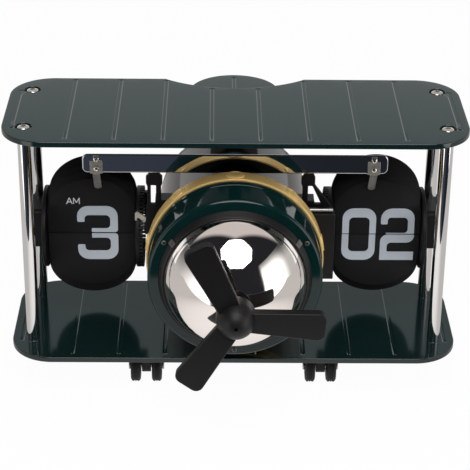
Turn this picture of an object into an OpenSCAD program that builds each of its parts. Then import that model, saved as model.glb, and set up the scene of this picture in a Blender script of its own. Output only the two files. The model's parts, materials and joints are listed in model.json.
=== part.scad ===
// Flip clock in the shape of a biplane: two wing plates on four struts, a round fuselage with a
// propeller between them, and a flip card unit on each side of the fuselage.
// Millimetres. +Z is up, -Y is the front, the table is Z = 0 and the struts stand round X = Y = 0.

/* [Wings] */
// Span of each wing from tip to tip
wing_span = 210; // [206:1:230]
// Chord of each wing, front to back
wing_chord = 76; // [70:1:90]
// Thickness of each wing plate
wing_thick = 2.6; // [2.4:0.1:4]
// Corner radius of each wing
wing_corner_r = 20; // [10:1:30]
// Clear height between the two wings
wing_gap = 107; // [104:1:120]
// How far the wings sit forward of the middle of the struts
wing_forward = 1.3; // [0:0.1:4]
// Radius of the notch in the rear edge of the upper wing
notch_r = 53; // [45:1:70]
// Half width of that notch at the rear edge
notch_half_w = 33; // [20:1:40]
// Number of fore-aft grooves in each wing
groove_count = 8; // [4:2:8]
// Spacing of the fore-aft grooves
groove_pitch = 21.6; // [18:0.1:23]
// Width of a groove
groove_w = 2; // [0.6:0.1:3]
// Depth of a groove
groove_deep = 0.5; // [0.2:0.1:1]
// Distance of a groove's front end from the front edge, and of a tip groove from the tip
groove_inset = 4.7; // [3:0.1:8]
// Length of the short groove at each wing tip
tip_groove_len = 43; // [30:1:44]

/* [Struts] */
// Diameter of a strut
strut_d = 6; // [5:0.1:8]
// Distance of each strut from the wing tip beside it
strut_inset = 10; // [8:0.5:14]
// Distance between the front and rear struts
strut_depth = 43.5; // [40:0.5:46]
// Diameter of the strut screws
strut_screw_d = 3; // [2:0.1:3.5]
// Length of the strut screws below the head
strut_screw_len = 10; // [6:1:16]
// Diameter of a strut screw's head
strut_head_d = 5.6; // [5:0.1:6]
// Height of a strut screw's head
strut_head_h = 1.4; // [1:0.1:2]
// Width across the flats of its hexagon socket
strut_socket_w = 2.2; // [1.5:0.1:3]
// Diameter of the washer under the head
washer_d = 7.2; // [6.4:0.1:8]
// Thickness of that washer
washer_t = 0.4; // [0.3:0.1:0.6]
// Depth of the counterbore for the washer and the head
counterbore_deep = 1.5; // [1:0.1:1.8]

/* [Wheels] */
// Diameter of a wheel
wheel_d = 16; // [12:0.5:24]
// Width of a wheel
wheel_w = 4.6; // [3:0.1:7]
// Space between the twin wheels of a leg
wheel_space = 5.4; // [4:0.1:8]
// Gap between a wheel and the plate above it
wheel_gap = 0.4; // [0.3:0.1:2]
// Diameter of an axle
axle_d = 3; // [2:0.1:4]
// Thickness of a leg's head plate
leg_plate_t = 1.6; // [1.2:0.1:3]
// Distance between the left and right legs
leg_track = 83; // [60:1:110]
// Distance of the front legs ahead of the middle of the struts
leg_front = 24; // [18:0.5:30]
// Distance of the rear legs behind the middle of the struts
leg_rear = 22; // [16:0.5:28]
// Diameter of the screws under the lower wing
under_screw_d = 2; // [1.6:0.1:2.6]

/* [Fuselage] */
// Outer radius of the barrel
barrel_r = 36; // [35:0.1:38]
// Wall of the barrel
barrel_wall = 2; // [1.5:0.1:3]
// Distance of the barrel's front end ahead of the middle of the struts
barrel_front = 43; // [40:0.5:46]
// Distance of the barrel's rear end behind the middle of the struts
barrel_back = 37; // [36:0.5:42]
// How far the engine cowl stands out from the barrel
cowl_over = 3.7; // [3.2:0.1:5]
// Radius of the cowl's rounded lip
cowl_lip_r = 1.6; // [1:0.1:3]
// How much less the bezel's radius is than the cowl's
bezel_in = 4.9; // [4.5:0.1:5.2]
// Height of the step behind the cowl's front part
cowl_step = 0.5; // [0.2:0.1:1]
// Length of the stepped rear part of the cowl
cowl_step_len = 3.3; // [2:0.1:5]
// How far the brass band stands out from the barrel
band_over = 5; // [4.6:0.1:7]
// Gap between the brass band and the lower wing
band_clear = 4.4; // [2:0.1:9]
// Width of the brass band
band_w = 11.3; // [8:0.1:12]
// Distance of the brass band's front edge ahead of the middle of the struts
band_front = 29.3; // [28:0.1:32]
// Number of oval bosses round the brass band
boss_count = 9; // [5:1:12]
// Diameter of a boss
boss_d = 7.6; // [4:0.1:9]
// Height of a boss above the band
boss_h = 0.45; // [0.2:0.05:1]
// How much less the nose dome's radius is than the barrel's
dome_in = 3.7; // [3:0.1:6]
// How far the nose dome bulges ahead of its rim
dome_rise = 23.5; // [18:0.1:32]
// Thickness of the nose dome
dome_t = 0.8; // [0.6:0.1:1.2]
// How far the dome's round part starts ahead of the barrel's front end
dome_ahead = 6; // [5:0.1:8]
// Length of the dome's straight skirt
dome_skirt = 5; // [3:0.1:5]
// Gap between the bezel ring and the cowl's lip
bezel_gap = 0.05; // [0.02:0.01:0.2]
// Number of clips that hold the bezel
clip_count = 3; // [3:1:4]
// Width of a bezel clip
clip_w = 2.6; // [1.5:0.1:4]
// Diameter of a bezel screw's head
clip_head_d = 2.4; // [1.8:0.1:2.8]
// Width of the saddle under the barrel
saddle_w = 30; // [24:1:40]
// Length of the saddle
saddle_len = 42; // [30:1:44]

/* [Propeller] */
// Reach of a blade from the axis
blade_reach = 39.2; // [30:0.1:42]
// Width of a blade at its tip
blade_tip_w = 14.3; // [10:0.1:18]
// Width of a blade at its root
blade_root_w = 10.1; // [7:0.1:12]
// Thickness of a blade
blade_t = 4.3; // [1.4:0.1:5]
// Corner radius of a blade's tip
blade_corner_r = 3.6; // [1:0.1:5]
// Pitch angle of the blades
blade_pitch = 4.5; // [0:0.5:20]
// Angle of the first blade from the right
blade_angle = -4; // [-60:0.5:60]
// Diameter of the hub
hub_d = 17.3; // [13:0.1:19]
// Length of the hub
hub_len = 15; // [12:0.1:18]
// Length of the hub's rounded nose
hub_nose = 9.5; // [6:0.1:11]
// How far the dome's bush stands ahead of the dome
bush_nose = 3.7; // [2:0.1:6]
// Gap between the hub and the dome's bush
hub_gap = 0.3; // [0.2:0.1:1]
// Diameter of the propeller shaft
prop_shaft_d = 3; // [2:0.1:4]
// Length of the propeller shaft behind the hub
prop_shaft_len = 12; // [9:0.5:20]

/* [Flip units] */
// Distance from the barrel to the inner edge of a card
card_in = 10.8; // [10.4:0.1:14]
// Distance from the outer edge of a card to the middle of the strut beside it
card_out = 7; // [6.9:0.1:9]
// Length of a card from its hinge to its end
card_len = 27.6; // [22:0.1:30]
// Length of the rounded end of a card
card_end = 17; // [8:0.1:20]
// Thickness of a card
card_t = 0.3; // [0.2:0.05:0.35]
// Radius of the circle of card hinges
hinge_r = 10; // [10:0.1:12]
// How far the drum axis lies behind the middle of the struts
drum_back = 7.7; // [7:0.1:9]
// How far the front flap leans back at rest, in degrees
flap_lean = 2.5; // [1:0.5:4]
// Radius of the drum's end discs
disc_r = 19.5; // [16:0.1:21]
// Thickness of an end disc
disc_t = 1.9; // [1.2:0.1:2.4]
// Gap between the cards and an end disc
disc_gap = 0.4; // [0.3:0.05:0.8]
// Radius of the drum's core
core_r = 5; // [4:0.1:7]
// Number of crown teeth on the inner end disc
tooth_count = 60; // [24:1:72]
// Length of a crown tooth
tooth_len = 1.6; // [1:0.1:1.8]
// Radial height of a crown tooth
tooth_h = 2.4; // [1.5:0.1:4]
// Diameter of the cross shaft
shaft_d = 4; // [3:0.1:5]
// Width of a bearing block across the wing
block_w = 7; // [6.8:0.1:8]
// Height of a bearing block
block_h = 20; // [14:0.5:26]

/* [Card rail] */
// How far the polished rail goes past the middle of a leaf spring
rail_end = 6.4; // [4:0.1:12]
// Height of the rail
rail_h = 9.2; // [8:0.1:11]
// Thickness of the rail
rail_t = 1.5; // [1:0.1:2]
// Gap between the top of the barrel and the rail
rail_clear = 0.5; // [0.3:0.1:6]
// Distance of the rail's front face ahead of the middle of the struts
rail_front = 10.9; // [10.4:0.1:14]
// Corner radius of the rail
rail_corner_r = 2.4; // [0.5:0.1:4]
// Thickness of the rail brackets
bracket_t = 2; // [1.5:0.1:3]
// Distance of each leaf spring from the middle of its cards, towards the fuselage
leaf_in = 3.6; // [-6:0.1:10]
// Width of a leaf spring's clip
leaf_clip_w = 5.8; // [5:0.1:8]
// Width of a leaf spring's finger
leaf_w = 3.4; // [2:0.1:5]
// Thickness of a leaf spring
leaf_t = 0.4; // [0.3:0.05:0.6]
// How far a finger's tip lies above the flap's hinge
leaf_tip_rise = 23.2; // [20:0.1:25]

/* [Drive] */
// Pitch radius of the gear on the cross shaft, as a share of the barrel's bore
gear_share = 0.47; // [0.42:0.01:0.5]
// Teeth of the gear on the cross shaft
gear_teeth = 40; // [36:1:42]
// Teeth of the motor pinion
pinion_teeth = 12; // [10:1:14]
// Width of the drive gears
gear_w = 4; // [3:0.1:5]
// Distance of the gear's inner face from the clock's middle, as a share of the barrel's bore
gear_place = 0.64; // [0.6:0.01:0.66]
// Radius of the motor
motor_r = 10; // [8:0.1:10.5]
// Length of the motor
motor_len = 19; // [12:0.5:20]
// Radius of the friction wheel on the knob's stem
setting_wheel_r = 6; // [4:0.1:6.2]
// Radius at which the friction wheel bears on the gear
setting_reach = 12; // [11:0.1:14]
// Width of the friction wheel
setting_wheel_w = 4; // [3:0.1:5]
// Diameter of the knob
knob_d = 12; // [9:0.1:15]
// Length of the knob
knob_len = 8; // [6:0.1:12]

/* [Rear] */
// Thickness of the rear cover
cover_t = 2.5; // [2:0.1:4]
// Diameter of the battery cell
cell_d = 26; // [22:0.1:26.4]
// Length of the battery cell
cell_len = 49; // [44:0.5:49.5]
// Gap between the cell and the barrel's wall
cell_gap = 1; // [0.6:0.1:1.5]
// Width of the battery cap's rim
cap_rim = 1.4; // [1:0.1:1.6]
// Thickness of the tail plates
tail_thick = 2.6; // [2:0.1:3.4]
// Height of the tailplane's top above the fuselage axis
tail_rise = 50; // [48:0.1:56]
// Distance of the tailplane's far edge behind the middle of the struts
tail_far = 78; // [74:0.5:90]
// Radius of the tailplane's round rear edge
tail_r = 22; // [18:0.1:28]
// Chord of the tailplane
tail_chord = 34; // [30:0.5:36]
// Distance from the tailplane's far edge to the end of its middle groove
tail_groove_end = 3; // [2:0.1:8]

/* [Hidden] */
$fn = 64;

// Paint and metal colours
green = [0.09, 0.16, 0.16];
black = [0.10, 0.10, 0.11];
chrome = [0.80, 0.80, 0.80];
steel = [0.62, 0.63, 0.65];
brass = [0.69, 0.58, 0.37];
grey = [0.30, 0.29, 0.31];

// Clearances: touching pieces, running fits, moving pieces, and what a cut goes past a face
seat = 0.02;
running = 0.05;
free = 0.3;
past = 1;

// Widths and radii that follow the barrel and the wing span
strut_x = wing_span / 2 - strut_inset;
barrel_bore_r = barrel_r - barrel_wall;
cowl_r = barrel_r + cowl_over;
band_r = barrel_r + band_over;
dome_r = barrel_r - dome_in;

// Heights
wheel_top = wheel_d;
lower_bottom = wheel_top + wheel_gap + leg_plate_t;
lower_top = lower_bottom + wing_thick;
upper_bottom = lower_top + wing_gap;
upper_top = upper_bottom + wing_thick;
axis_h = lower_top + band_clear + band_r;
rail_bottom = axis_h + barrel_r + rail_clear;
rail_mid = rail_bottom + rail_h / 2;
tail_top = axis_h + tail_rise;

// Depths
dome_base = -barrel_front - dome_ahead;
dome_tip = dome_base - dome_rise;
dome_ball = (pow(dome_r, 2) + pow(dome_rise, 2)) / (2 * dome_rise);
ball_y = dome_tip + dome_ball;
rail_face = -rail_front;
rail_rear = rail_face + rail_t;
cover_rear = barrel_back + cover_t;

// Strut holes and screws
strut_hole_d = strut_screw_d + 0.2;
counterbore_d = washer_d + 0.4;

// Wheel legs
leg_w = wheel_space - 1.2;
leg_d = 7;
leg_plate_len = 17;
leg_screw_y = leg_plate_len / 2 - 2.4;
leg_screw_bite = wing_thick - groove_deep - 0.4;

// Fuselage
saddle_mid = barrel_back - saddle_len / 2 - 1;
cover_screw_r = barrel_bore_r - 4;
cover_screw_d = 2;
band_back = -band_front + band_w;
cowl_face = -barrel_front - 3;
lip_y = cowl_face + cowl_lip_r;
bezel_seat_r = cowl_r - bezel_in;
bezel_r = bezel_seat_r - bezel_gap;
clip_screw_r = cowl_r - bezel_in * 0.56;
clip_screw_y = cowl_face + 0.7;

// Propeller
bush_front = dome_tip - bush_nose;
hub_rear = bush_front - hub_gap;
hub_tip = hub_rear - hub_len;
prop_bush_r = prop_shaft_d / 2 + 1.5;
prop_bush_back = dome_tip + dome_t + 3;

// Tail
boom_seat_y = tail_far - tail_r - 1;
boom_end_r = 7.5;
boom_top = tail_top - tail_thick;
tail_screw_d = 2;

// Card rail
bracket_y = rail_rear + seat;
leaf_screw_d = 1.4;
leaf_screw_gap = 4.7;

// Flip units: cards on each drum, their width and place, and where the front flap hinges
card_inner_x = barrel_r + card_in;
card_outer_x = strut_x - card_out;
card_w = card_outer_x - card_inner_x;
unit_x = (card_inner_x + card_outer_x) / 2;
card_count = 24;
half_pitch = 180 / card_count;
flap_y = drum_back - hinge_r * cos(half_pitch);
flap_h = axis_h + hinge_r * sin(half_pitch);
lower_card_step = card_t + 0.4;
disc_inner = card_inner_x - disc_gap;
disc_outer = card_outer_x + disc_gap;
tooth_tip_x = disc_inner - disc_t - tooth_len;
shaft_bush_r = shaft_d / 2 + 2;
bush_flange_x = barrel_r + 1.6;
block_x = strut_x;
drive_box_top = axis_h + disc_r * 0.975;
leaf_x = unit_x - leaf_in;
rail_len = 2 * (leaf_x + rail_end);
bracket_low = axis_h + barrel_r / 2;

// Drive
gear_r = barrel_bore_r * gear_share;
gear_module = 2 * gear_r / gear_teeth;
gear_x = barrel_bore_r * gear_place;
pinion_r = gear_module * pinion_teeth / 2;
mesh_play = 0.35;
mesh_angle = 135;
pinion_y = drum_back + (gear_r + pinion_r + mesh_play) * cos(mesh_angle);
pinion_h = axis_h + (gear_r + pinion_r + mesh_play) * sin(mesh_angle);
motor_x = gear_x - 1.5;
motor_shaft_d = 2;
knob_x = gear_x - free - setting_wheel_r;
stem_d = 4;

// Battery
cell_h = axis_h - barrel_bore_r + cell_gap + cell_d / 2;
cell_rear = barrel_back - seat;
cap_hole_r = cell_d / 2 + 0.6;

// A rounded rectangle round the origin
module rounded_rect(width, height, radius) {
    square([width - 2 * radius, height], center = true);
    square([width, height - 2 * radius], center = true);
    for (x = [-1, 1], y = [-1, 1])
        translate([x * (width / 2 - radius), y * (height / 2 - radius)]) circle(r = radius);
}

// A flat shape drawn in X and Z, as a plate from y_front to y_front + thick
module plate_xz(y_front, thick) {
    translate([0, y_front + thick, 0]) rotate([90, 0, 0]) linear_extrude(thick) children();
}

// A flat shape drawn in Y and Z, as a plate from x_left to x_left + wide
module plate_yz(x_left, wide) {
    translate([x_left, 0, 0]) rotate([90, 0, 90]) linear_extrude(wide) children();
}

// A cylinder along Y on the fuselage axis
module rod_y(y_front, y_back, radius) {
    translate([0, y_front, axis_h]) rotate([-90, 0, 0]) cylinder(h = y_back - y_front, r = radius);
}

// A cylinder along X through a point in Y and Z
module rod_x(x_left, x_right, y, z, radius) {
    translate([x_left, y, z]) rotate([0, 90, 0]) cylinder(h = x_right - x_left, r = radius);
}

// A profile of radius and Y, turned round the fuselage axis
module turned(profile) {
    translate([0, 0, axis_h]) rotate([-90, 0, 0]) rotate_extrude($fn = 96) polygon(profile);
}

// Points of an arc
function arc(x, y, radius, from, to, steps) =
    [for (i = [0:steps]) let (a = from + (to - from) * i / steps)
        [x + radius * cos(a), y + radius * sin(a)]];

// Places its children at the four struts
module at_struts() {
    for (x = [-1, 1], y = [-1, 1]) translate([x * strut_x, y * strut_depth / 2, 0]) children();
}

// Places its children at the four wheel legs
module at_legs() {
    for (x = [-1, 1], y = [-leg_front, leg_rear]) translate([x * leg_track / 2, y, 0]) children();
}

// Outline of a wing plate
module wing_outline() {
    translate([0, -wing_forward]) rounded_rect(wing_span, wing_chord, wing_corner_r);
}

// The grooves of a wing, from above
module wing_grooves() {
    front_end = -wing_forward - wing_chord / 2 + groove_inset;
    for (i = [0:groove_count - 1])
        translate([(i - (groove_count - 1) / 2) * groove_pitch, front_end]) {
            circle(d = groove_w);
            translate([-groove_w / 2, 0]) square([groove_w, wing_chord]);
        }
    for (x = [-1, 1])
        translate([x * (wing_span / 2 - groove_inset), -wing_forward])
            square([groove_w, tip_groove_len], center = true);
}

// A wing plate with its top grooves, from z_bottom up
module wing_plate(z_bottom) {
    translate([0, 0, z_bottom]) difference() {
        linear_extrude(wing_thick) wing_outline();
        translate([0, 0, wing_thick - groove_deep]) linear_extrude(groove_deep + past) wing_grooves();
        at_struts() translate([0, 0, -past]) cylinder(d = strut_hole_d, h = wing_thick + 2 * past);
    }
}

module lower_wing() {
    color(green) difference() {
        wing_plate(lower_bottom);
        at_struts() translate([0, 0, lower_bottom - past])
            cylinder(d = counterbore_d, h = counterbore_deep + past);
        at_leg_screws() translate([0, 0, lower_bottom - past])
            cylinder(d = under_screw_d + 2 * seat, h = past + leg_screw_bite + seat);
        at_saddle_screws() translate([0, 0, lower_bottom - past])
            cylinder(d = under_screw_d + 2 * seat, h = wing_thick + 2 * past);
    }
}

module upper_wing() {
    notch_y = -wing_forward + wing_chord / 2 + sqrt(notch_r * notch_r - notch_half_w * notch_half_w);
    color(green) difference() {
        wing_plate(upper_bottom);
        at_struts() translate([0, 0, upper_top - counterbore_deep])
            cylinder(d = counterbore_d, h = counterbore_deep + past);
        translate([0, notch_y, upper_bottom - past])
            cylinder(r = notch_r, h = wing_thick + 2 * past, $fn = 128);
    }
}

// The two struts of a row
module strut_row(side) {
    color(chrome) for (x = [-1, 1])
        translate([x * strut_x, side * strut_depth / 2, lower_top]) difference() {
            cylinder(d = strut_d, h = wing_gap);
            translate([0, 0, -past]) cylinder(d = strut_hole_d, h = wing_gap + 2 * past);
        }
}

module front_struts() { strut_row(-1); }
module rear_struts() { strut_row(1); }

// A button-head socket screw whose head's seat is Z = 0
module strut_screw() {
    dome_of_head = (strut_head_d * strut_head_d / 4 + strut_head_h * strut_head_h) / (2 * strut_head_h);
    difference() {
        union() {
            intersection() {
                cylinder(d = strut_head_d, h = strut_head_h);
                translate([0, 0, strut_head_h - dome_of_head]) sphere(r = dome_of_head);
            }
            translate([0, 0, -strut_screw_len])
                cylinder(d = strut_screw_d, h = strut_screw_len + strut_head_h / 4);
        }
        translate([0, 0, strut_head_h / 3])
            cylinder(d = strut_socket_w / cos(30), h = strut_head_h, $fn = 6);
    }
}

// Places its children at the washer seats of the upper and lower wing, pointing out
module at_strut_seats() {
    at_struts() {
        translate([0, 0, upper_top - counterbore_deep]) children();
        translate([0, 0, lower_bottom + counterbore_deep]) mirror([0, 0, 1]) children();
    }
}

module strut_screws() {
    color(chrome) at_strut_seats() translate([0, 0, washer_t]) strut_screw();
}

module strut_washers() {
    color(steel) at_strut_seats() difference() {
        cylinder(d = washer_d, h = washer_t);
        translate([0, 0, -past]) cylinder(d = strut_hole_d, h = washer_t + 2 * past);
    }
}

// Wheels

// Places its children at the screws of the wheel legs
module at_leg_screws() {
    at_legs() for (y = [-1, 1]) translate([0, y * leg_screw_y, 0]) children();
}

// Places its children at the screws of the saddle
module at_saddle_screws() {
    for (y = [-1, 1]) translate([0, saddle_mid + y * saddle_len / 3, 0]) children();
}

module wheel_legs() {
    axle_h = wheel_d / 2;
    color(black) at_legs() difference() {
        union() {
            translate([0, 0, wheel_top + wheel_gap + leg_plate_t / 2])
                cube([2 * wheel_w + wheel_space, leg_plate_len, leg_plate_t], center = true);
            plate_yz(-leg_w / 2, leg_w) {
                translate([0, axle_h]) circle(d = leg_d);
                translate([-leg_d / 2, axle_h])
                    square([leg_d, wheel_top + wheel_gap + leg_plate_t / 2 - axle_h]);
            }
        }
        rod_x(-leg_w, leg_w, 0, axle_h, axle_d / 2 + seat);
        for (y = [-1, 1]) translate([0, y * leg_screw_y, wheel_top])
            cylinder(d = under_screw_d + 2 * seat, h = leg_plate_t + wheel_gap + past);
    }
}

// A pan-head screw whose head's seat is Z = 0, pointing up
module under_screw(length) {
    head_h = 1;
    cylinder(d = under_screw_d, h = length);
    translate([0, 0, -head_h]) cylinder(d = under_screw_d * 1.7, h = head_h);
}

module under_wing_screws() {
    saddle_grip = 5;
    color(steel) {
        at_leg_screws() translate([0, 0, lower_bottom - leg_plate_t])
            under_screw(leg_plate_t + leg_screw_bite);
        at_saddle_screws() translate([0, 0, lower_bottom]) under_screw(wing_thick + saddle_grip);
    }
}

module wheel_axles() {
    axle_end_x = wheel_space / 2 + wheel_w + free;
    head_t = 0.8;
    color(steel) at_legs() {
        rod_x(-axle_end_x, axle_end_x, 0, wheel_d / 2, axle_d / 2);
        for (x = [-axle_end_x - head_t, axle_end_x]) rod_x(x, x + head_t, 0, wheel_d / 2, axle_d * 0.75);
    }
}

// The twin wheels of one leg
module twin_wheels(side, y) {
    edge = 0.8;
    radius = wheel_d / 2;
    dish = wheel_w * 0.14;
    color(black) for (s = [-1, 1])
        translate([side * leg_track / 2 + s * (wheel_space + wheel_w) / 2, y, radius])
            rotate([0, s * 90, 0]) translate([0, 0, -wheel_w / 2]) rotate_extrude() polygon([
                [axle_d / 2 + running, 0], [radius - edge, 0], [radius, edge], [radius, wheel_w - edge],
                [radius - edge, wheel_w], [radius * 0.68, wheel_w], [radius * 0.62, wheel_w - dish],
                [radius * 0.4, wheel_w - dish], [radius * 0.36, wheel_w], [axle_d / 2 + running, wheel_w]
            ]);
}

module front_left_wheels() { twin_wheels(-1, -leg_front); }
module front_right_wheels() { twin_wheels(1, -leg_front); }
module rear_left_wheels() { twin_wheels(-1, leg_rear); }
module rear_right_wheels() { twin_wheels(1, leg_rear); }

// Fuselage

module saddle() {
    shoulder = axis_h - sqrt(barrel_r * barrel_r - saddle_w * saddle_w / 4);
    color(black) difference() {
        translate([-saddle_w / 2, saddle_mid - saddle_len / 2, lower_top])
            cube([saddle_w, saddle_len, shoulder - lower_top]);
        rod_y(-barrel_front, barrel_back, barrel_r + seat);
        at_saddle_screws() translate([0, 0, lower_top - past])
            cylinder(d = under_screw_d + 2 * seat, h = shoulder);
    }
}

// Places its children at the screws of the rear cover
module at_cover_screws() {
    for (a = [45:90:315])
        translate([cover_screw_r * cos(a), 0, axis_h + cover_screw_r * sin(a)]) children();
}

module fuselage_barrel() {
    boss_len = 10;
    color(black) difference() {
        union() {
            difference() {
                rod_y(-barrel_front, barrel_back, barrel_r);
                rod_y(-barrel_front - past, barrel_back + past, barrel_bore_r);
            }
            intersection() {
                at_cover_screws() translate([0, barrel_back - boss_len, 0]) rotate([-90, 0, 0])
                    cylinder(r = 4.4, h = boss_len);
                rod_y(-barrel_front, barrel_back, barrel_r - barrel_wall / 2);
            }
        }
        at_cover_screws() translate([0, barrel_back - boss_len - past, 0]) rotate([-90, 0, 0])
            cylinder(d = cover_screw_d + 2 * seat, h = boss_len + 2 * past);
        for (s = [-1, 1])
            rod_x(s * barrel_r - 2 * barrel_wall, s * barrel_r + 2 * barrel_wall,
                drum_back, axis_h, shaft_bush_r + seat);
    }
}

// Places its children at a clip of the bezel, with X pointing outwards from the axis
module at_clips() {
    for (i = [0:clip_count - 1])
        translate([0, 0, axis_h]) rotate([0, -(270 + i * 360 / clip_count), 0]) children();
}

module engine_cowl() {
    lip = arc(cowl_r - cowl_lip_r, lip_y, cowl_lip_r, -90, 0, 10);
    rear = -band_front - seat;
    sleeve_r = barrel_r + seat;
    color(green) difference() {
        turned(concat(lip, [
            [cowl_r, rear - cowl_step_len], [cowl_r + cowl_step, rear - cowl_step_len],
                [cowl_r + cowl_step, rear],
            [sleeve_r, rear], [sleeve_r, -barrel_front - seat], [bezel_seat_r, -barrel_front - seat],
            [bezel_seat_r, cowl_face]
        ]));
        at_clips() translate([clip_screw_r, clip_screw_y, 0]) rotate([90, 0, 0]) {
            cylinder(d = clip_head_d + 2 * seat, h = 2 * past);
            translate([0, 0, -1.6]) cylinder(d = clip_head_d / 2 + 2 * seat, h = 2);
        }
    }
}

module brass_band() {
    edge = 0.6;
    color(brass) difference() {
        union() {
            turned([
                [barrel_r + seat, -band_front], [band_r - edge, -band_front], [band_r, -band_front + edge],
                [band_r, band_back - edge], [band_r - edge, band_back], [barrel_r + seat, band_back]
            ]);
            for (i = [0:boss_count - 1])
                translate([0, -band_front + band_w / 2, axis_h]) rotate([0, i * 360 / boss_count, 0])
                    translate([0, 0, barrel_r + 1])
                        cylinder(d = boss_d, h = band_r + boss_h - barrel_r - 1);
        }
        rod_y(-band_front - past, band_back + past, barrel_r + seat);
    }
}

module bezel_ring() {
    inner = dome_r + seat;
    rear = -barrel_front - seat;
    front_edge = dome_base - 0.2;
    color(grey) turned([
        [inner, rear], [inner, front_edge], [inner + 0.6, front_edge - 0.2],
        [bezel_r, cowl_face], [bezel_r, rear]
    ]);
}

// The nose's round front and its skirt, drawn in by a distance
module nose_round(inward, rear_y) {
    intersection() {
        translate([0, ball_y, axis_h]) sphere(r = dome_ball - inward, $fn = 128);
        rod_y(dome_tip - past, rear_y, dome_r - inward);
    }
}

module nose_dome() {
    rear_y = dome_base + dome_skirt;
    color(chrome) difference() {
        nose_round(0, rear_y);
        nose_round(dome_t, rear_y + past);
        rod_y(dome_tip - past, dome_base, prop_bush_r + seat);
    }
}

module bezel_clips() {
    slope = atan2(dome_base - 0.4 - cowl_face, dome_r + 0.6 - bezel_r);
    reach = 2.4;
    clip_t = 0.4;
    color(steel) at_clips()
        translate([(dome_r + 0.6 + bezel_r) / 2, (dome_base - 0.4 + cowl_face) / 2, 0])
            rotate([0, 0, slope]) translate([-reach / 2, seat, -clip_w / 2]) cube([reach, clip_t, clip_w]);
}

module bezel_screws() {
    head_h = 0.9;
    color(steel) at_clips() translate([clip_screw_r, clip_screw_y - seat, 0]) rotate([90, 0, 0]) {
        difference() {
            cylinder(d = clip_head_d, h = head_h);
            translate([-clip_head_d, -0.2, head_h - 0.35]) cube([2 * clip_head_d, 0.4, 1]);
        }
        translate([0, 0, -1.4]) cylinder(d = clip_head_d / 2, h = 1.5);
    }
}

// Propeller

// A blade along X, facing up
module blade() {
    root = hub_d * 0.3;
    inner_x = blade_reach - blade_corner_r;
    tip_y = blade_tip_w / 2 - blade_corner_r;
    linear_extrude(blade_t, center = true) polygon(concat(
        [[root, -blade_root_w / 2]],
        arc(inner_x, -tip_y, blade_corner_r, -90, 0, 8),
        arc(inner_x, tip_y, blade_corner_r, 0, 90, 8),
        [[root, blade_root_w / 2]]
    ));
}

module propeller() {
    blade_y = hub_rear - hub_len * 0.41;
    nose = [for (a = [0:9:90]) [hub_d / 2 * cos(a), hub_tip + hub_nose * (1 - sin(a))]];
    color(black) difference() {
        union() {
            turned(concat([[0, hub_rear], [hub_d / 2, hub_rear]], nose));
            for (i = [0:2])
                translate([0, blade_y, axis_h]) rotate([0, -(blade_angle + 120 * i), 0])
                    rotate([90 + blade_pitch, 0, 0]) blade();
        }
        rod_y(hub_rear - hub_len * 0.7, hub_rear + past, prop_shaft_d / 2 + seat);
        rod_y(hub_tip - past, hub_tip + 1.2, 0.9);
    }
}

module propeller_shaft() {
    color(steel) rod_y(hub_rear - hub_len * 0.65, hub_rear + prop_shaft_len, prop_shaft_d / 2);
}

module propeller_bush() {
    flange_r = prop_bush_r + 1.4;
    flange_front = ball_y - sqrt(pow(dome_ball - dome_t, 2) - pow(flange_r, 2)) + seat;
    color(brass) difference() {
        union() {
            rod_y(bush_front, prop_bush_back, prop_bush_r);
            rod_y(flange_front, prop_bush_back, flange_r);
        }
        rod_y(bush_front - past, prop_bush_back + past, prop_shaft_d / 2 + running);
    }
}

module propeller_clip() {
    clip_y = prop_bush_back + hub_gap;
    color(steel) difference() {
        rod_y(clip_y, clip_y + 0.8, prop_shaft_d / 2 + 1.3);
        rod_y(clip_y - past, clip_y + 0.8 + past, prop_shaft_d / 2 + seat);
    }
}

// Rear of the fuselage

// Places its children at the axis of the battery cap
module at_cap() { translate([0, 0, cell_h]) rotate([-90, 0, 0]) children(); }

// Places its children at the screws of the tailplane
module at_tail_screws() {
    for (x = [-1, 1]) translate([x * 4.6, boom_seat_y, boom_top]) children();
}

module rear_cover() {
    color(black) difference() {
        rod_y(barrel_back + seat, cover_rear, barrel_r);
        at_cover_screws() rotate([-90, 0, 0]) cylinder(d = cover_screw_d + 2 * seat, h = cover_rear + past);
        at_cap() translate([0, 0, barrel_back - past])
            cylinder(r = cap_hole_r + running, h = cover_t + 2 * past);
        translate([knob_x, barrel_back - past, axis_h]) rotate([-90, 0, 0])
            cylinder(d = stem_d + 2 * running, h = cover_t + 2 * past);
    }
}

module rear_screws() {
    head_d = 3.8;
    head_h = 1.2;
    grip = 7;
    color(steel) {
        at_cover_screws() translate([0, cover_rear, 0]) rotate([-90, 0, 0]) {
            cylinder(d = head_d, h = head_h);
            translate([0, 0, -cover_t - grip]) cylinder(d = cover_screw_d, h = cover_t + grip + head_h / 2);
        }
        at_tail_screws() {
            translate([0, 0, tail_thick]) cylinder(d = head_d, h = head_h);
            translate([0, 0, -grip]) cylinder(d = tail_screw_d, h = grip + tail_thick + head_h / 2);
        }
    }
}

module tail_boom() {
    foot_x = 10;
    foot_r = 4;
    foot_low = 14;
    foot_high = 27;
    color(green) difference() {
        hull() {
            for (x = [-foot_x, foot_x], z = [foot_low, foot_high])
                translate([x, cover_rear + seat, axis_h + z]) rotate([-90, 0, 0])
                    cylinder(r = foot_r, h = 2, $fn = 32);
            translate([0, boom_seat_y, boom_top - 11]) cylinder(r = boom_end_r, h = 11 - seat, $fn = 32);
        }
        at_tail_screws() translate([0, 0, -9]) cylinder(d = tail_screw_d + 2 * seat, h = 10);
        at_cover_screws() translate([0, cover_rear, 0]) rotate([-90, 0, 0]) cylinder(d = 5, h = 60);
    }
}

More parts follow.
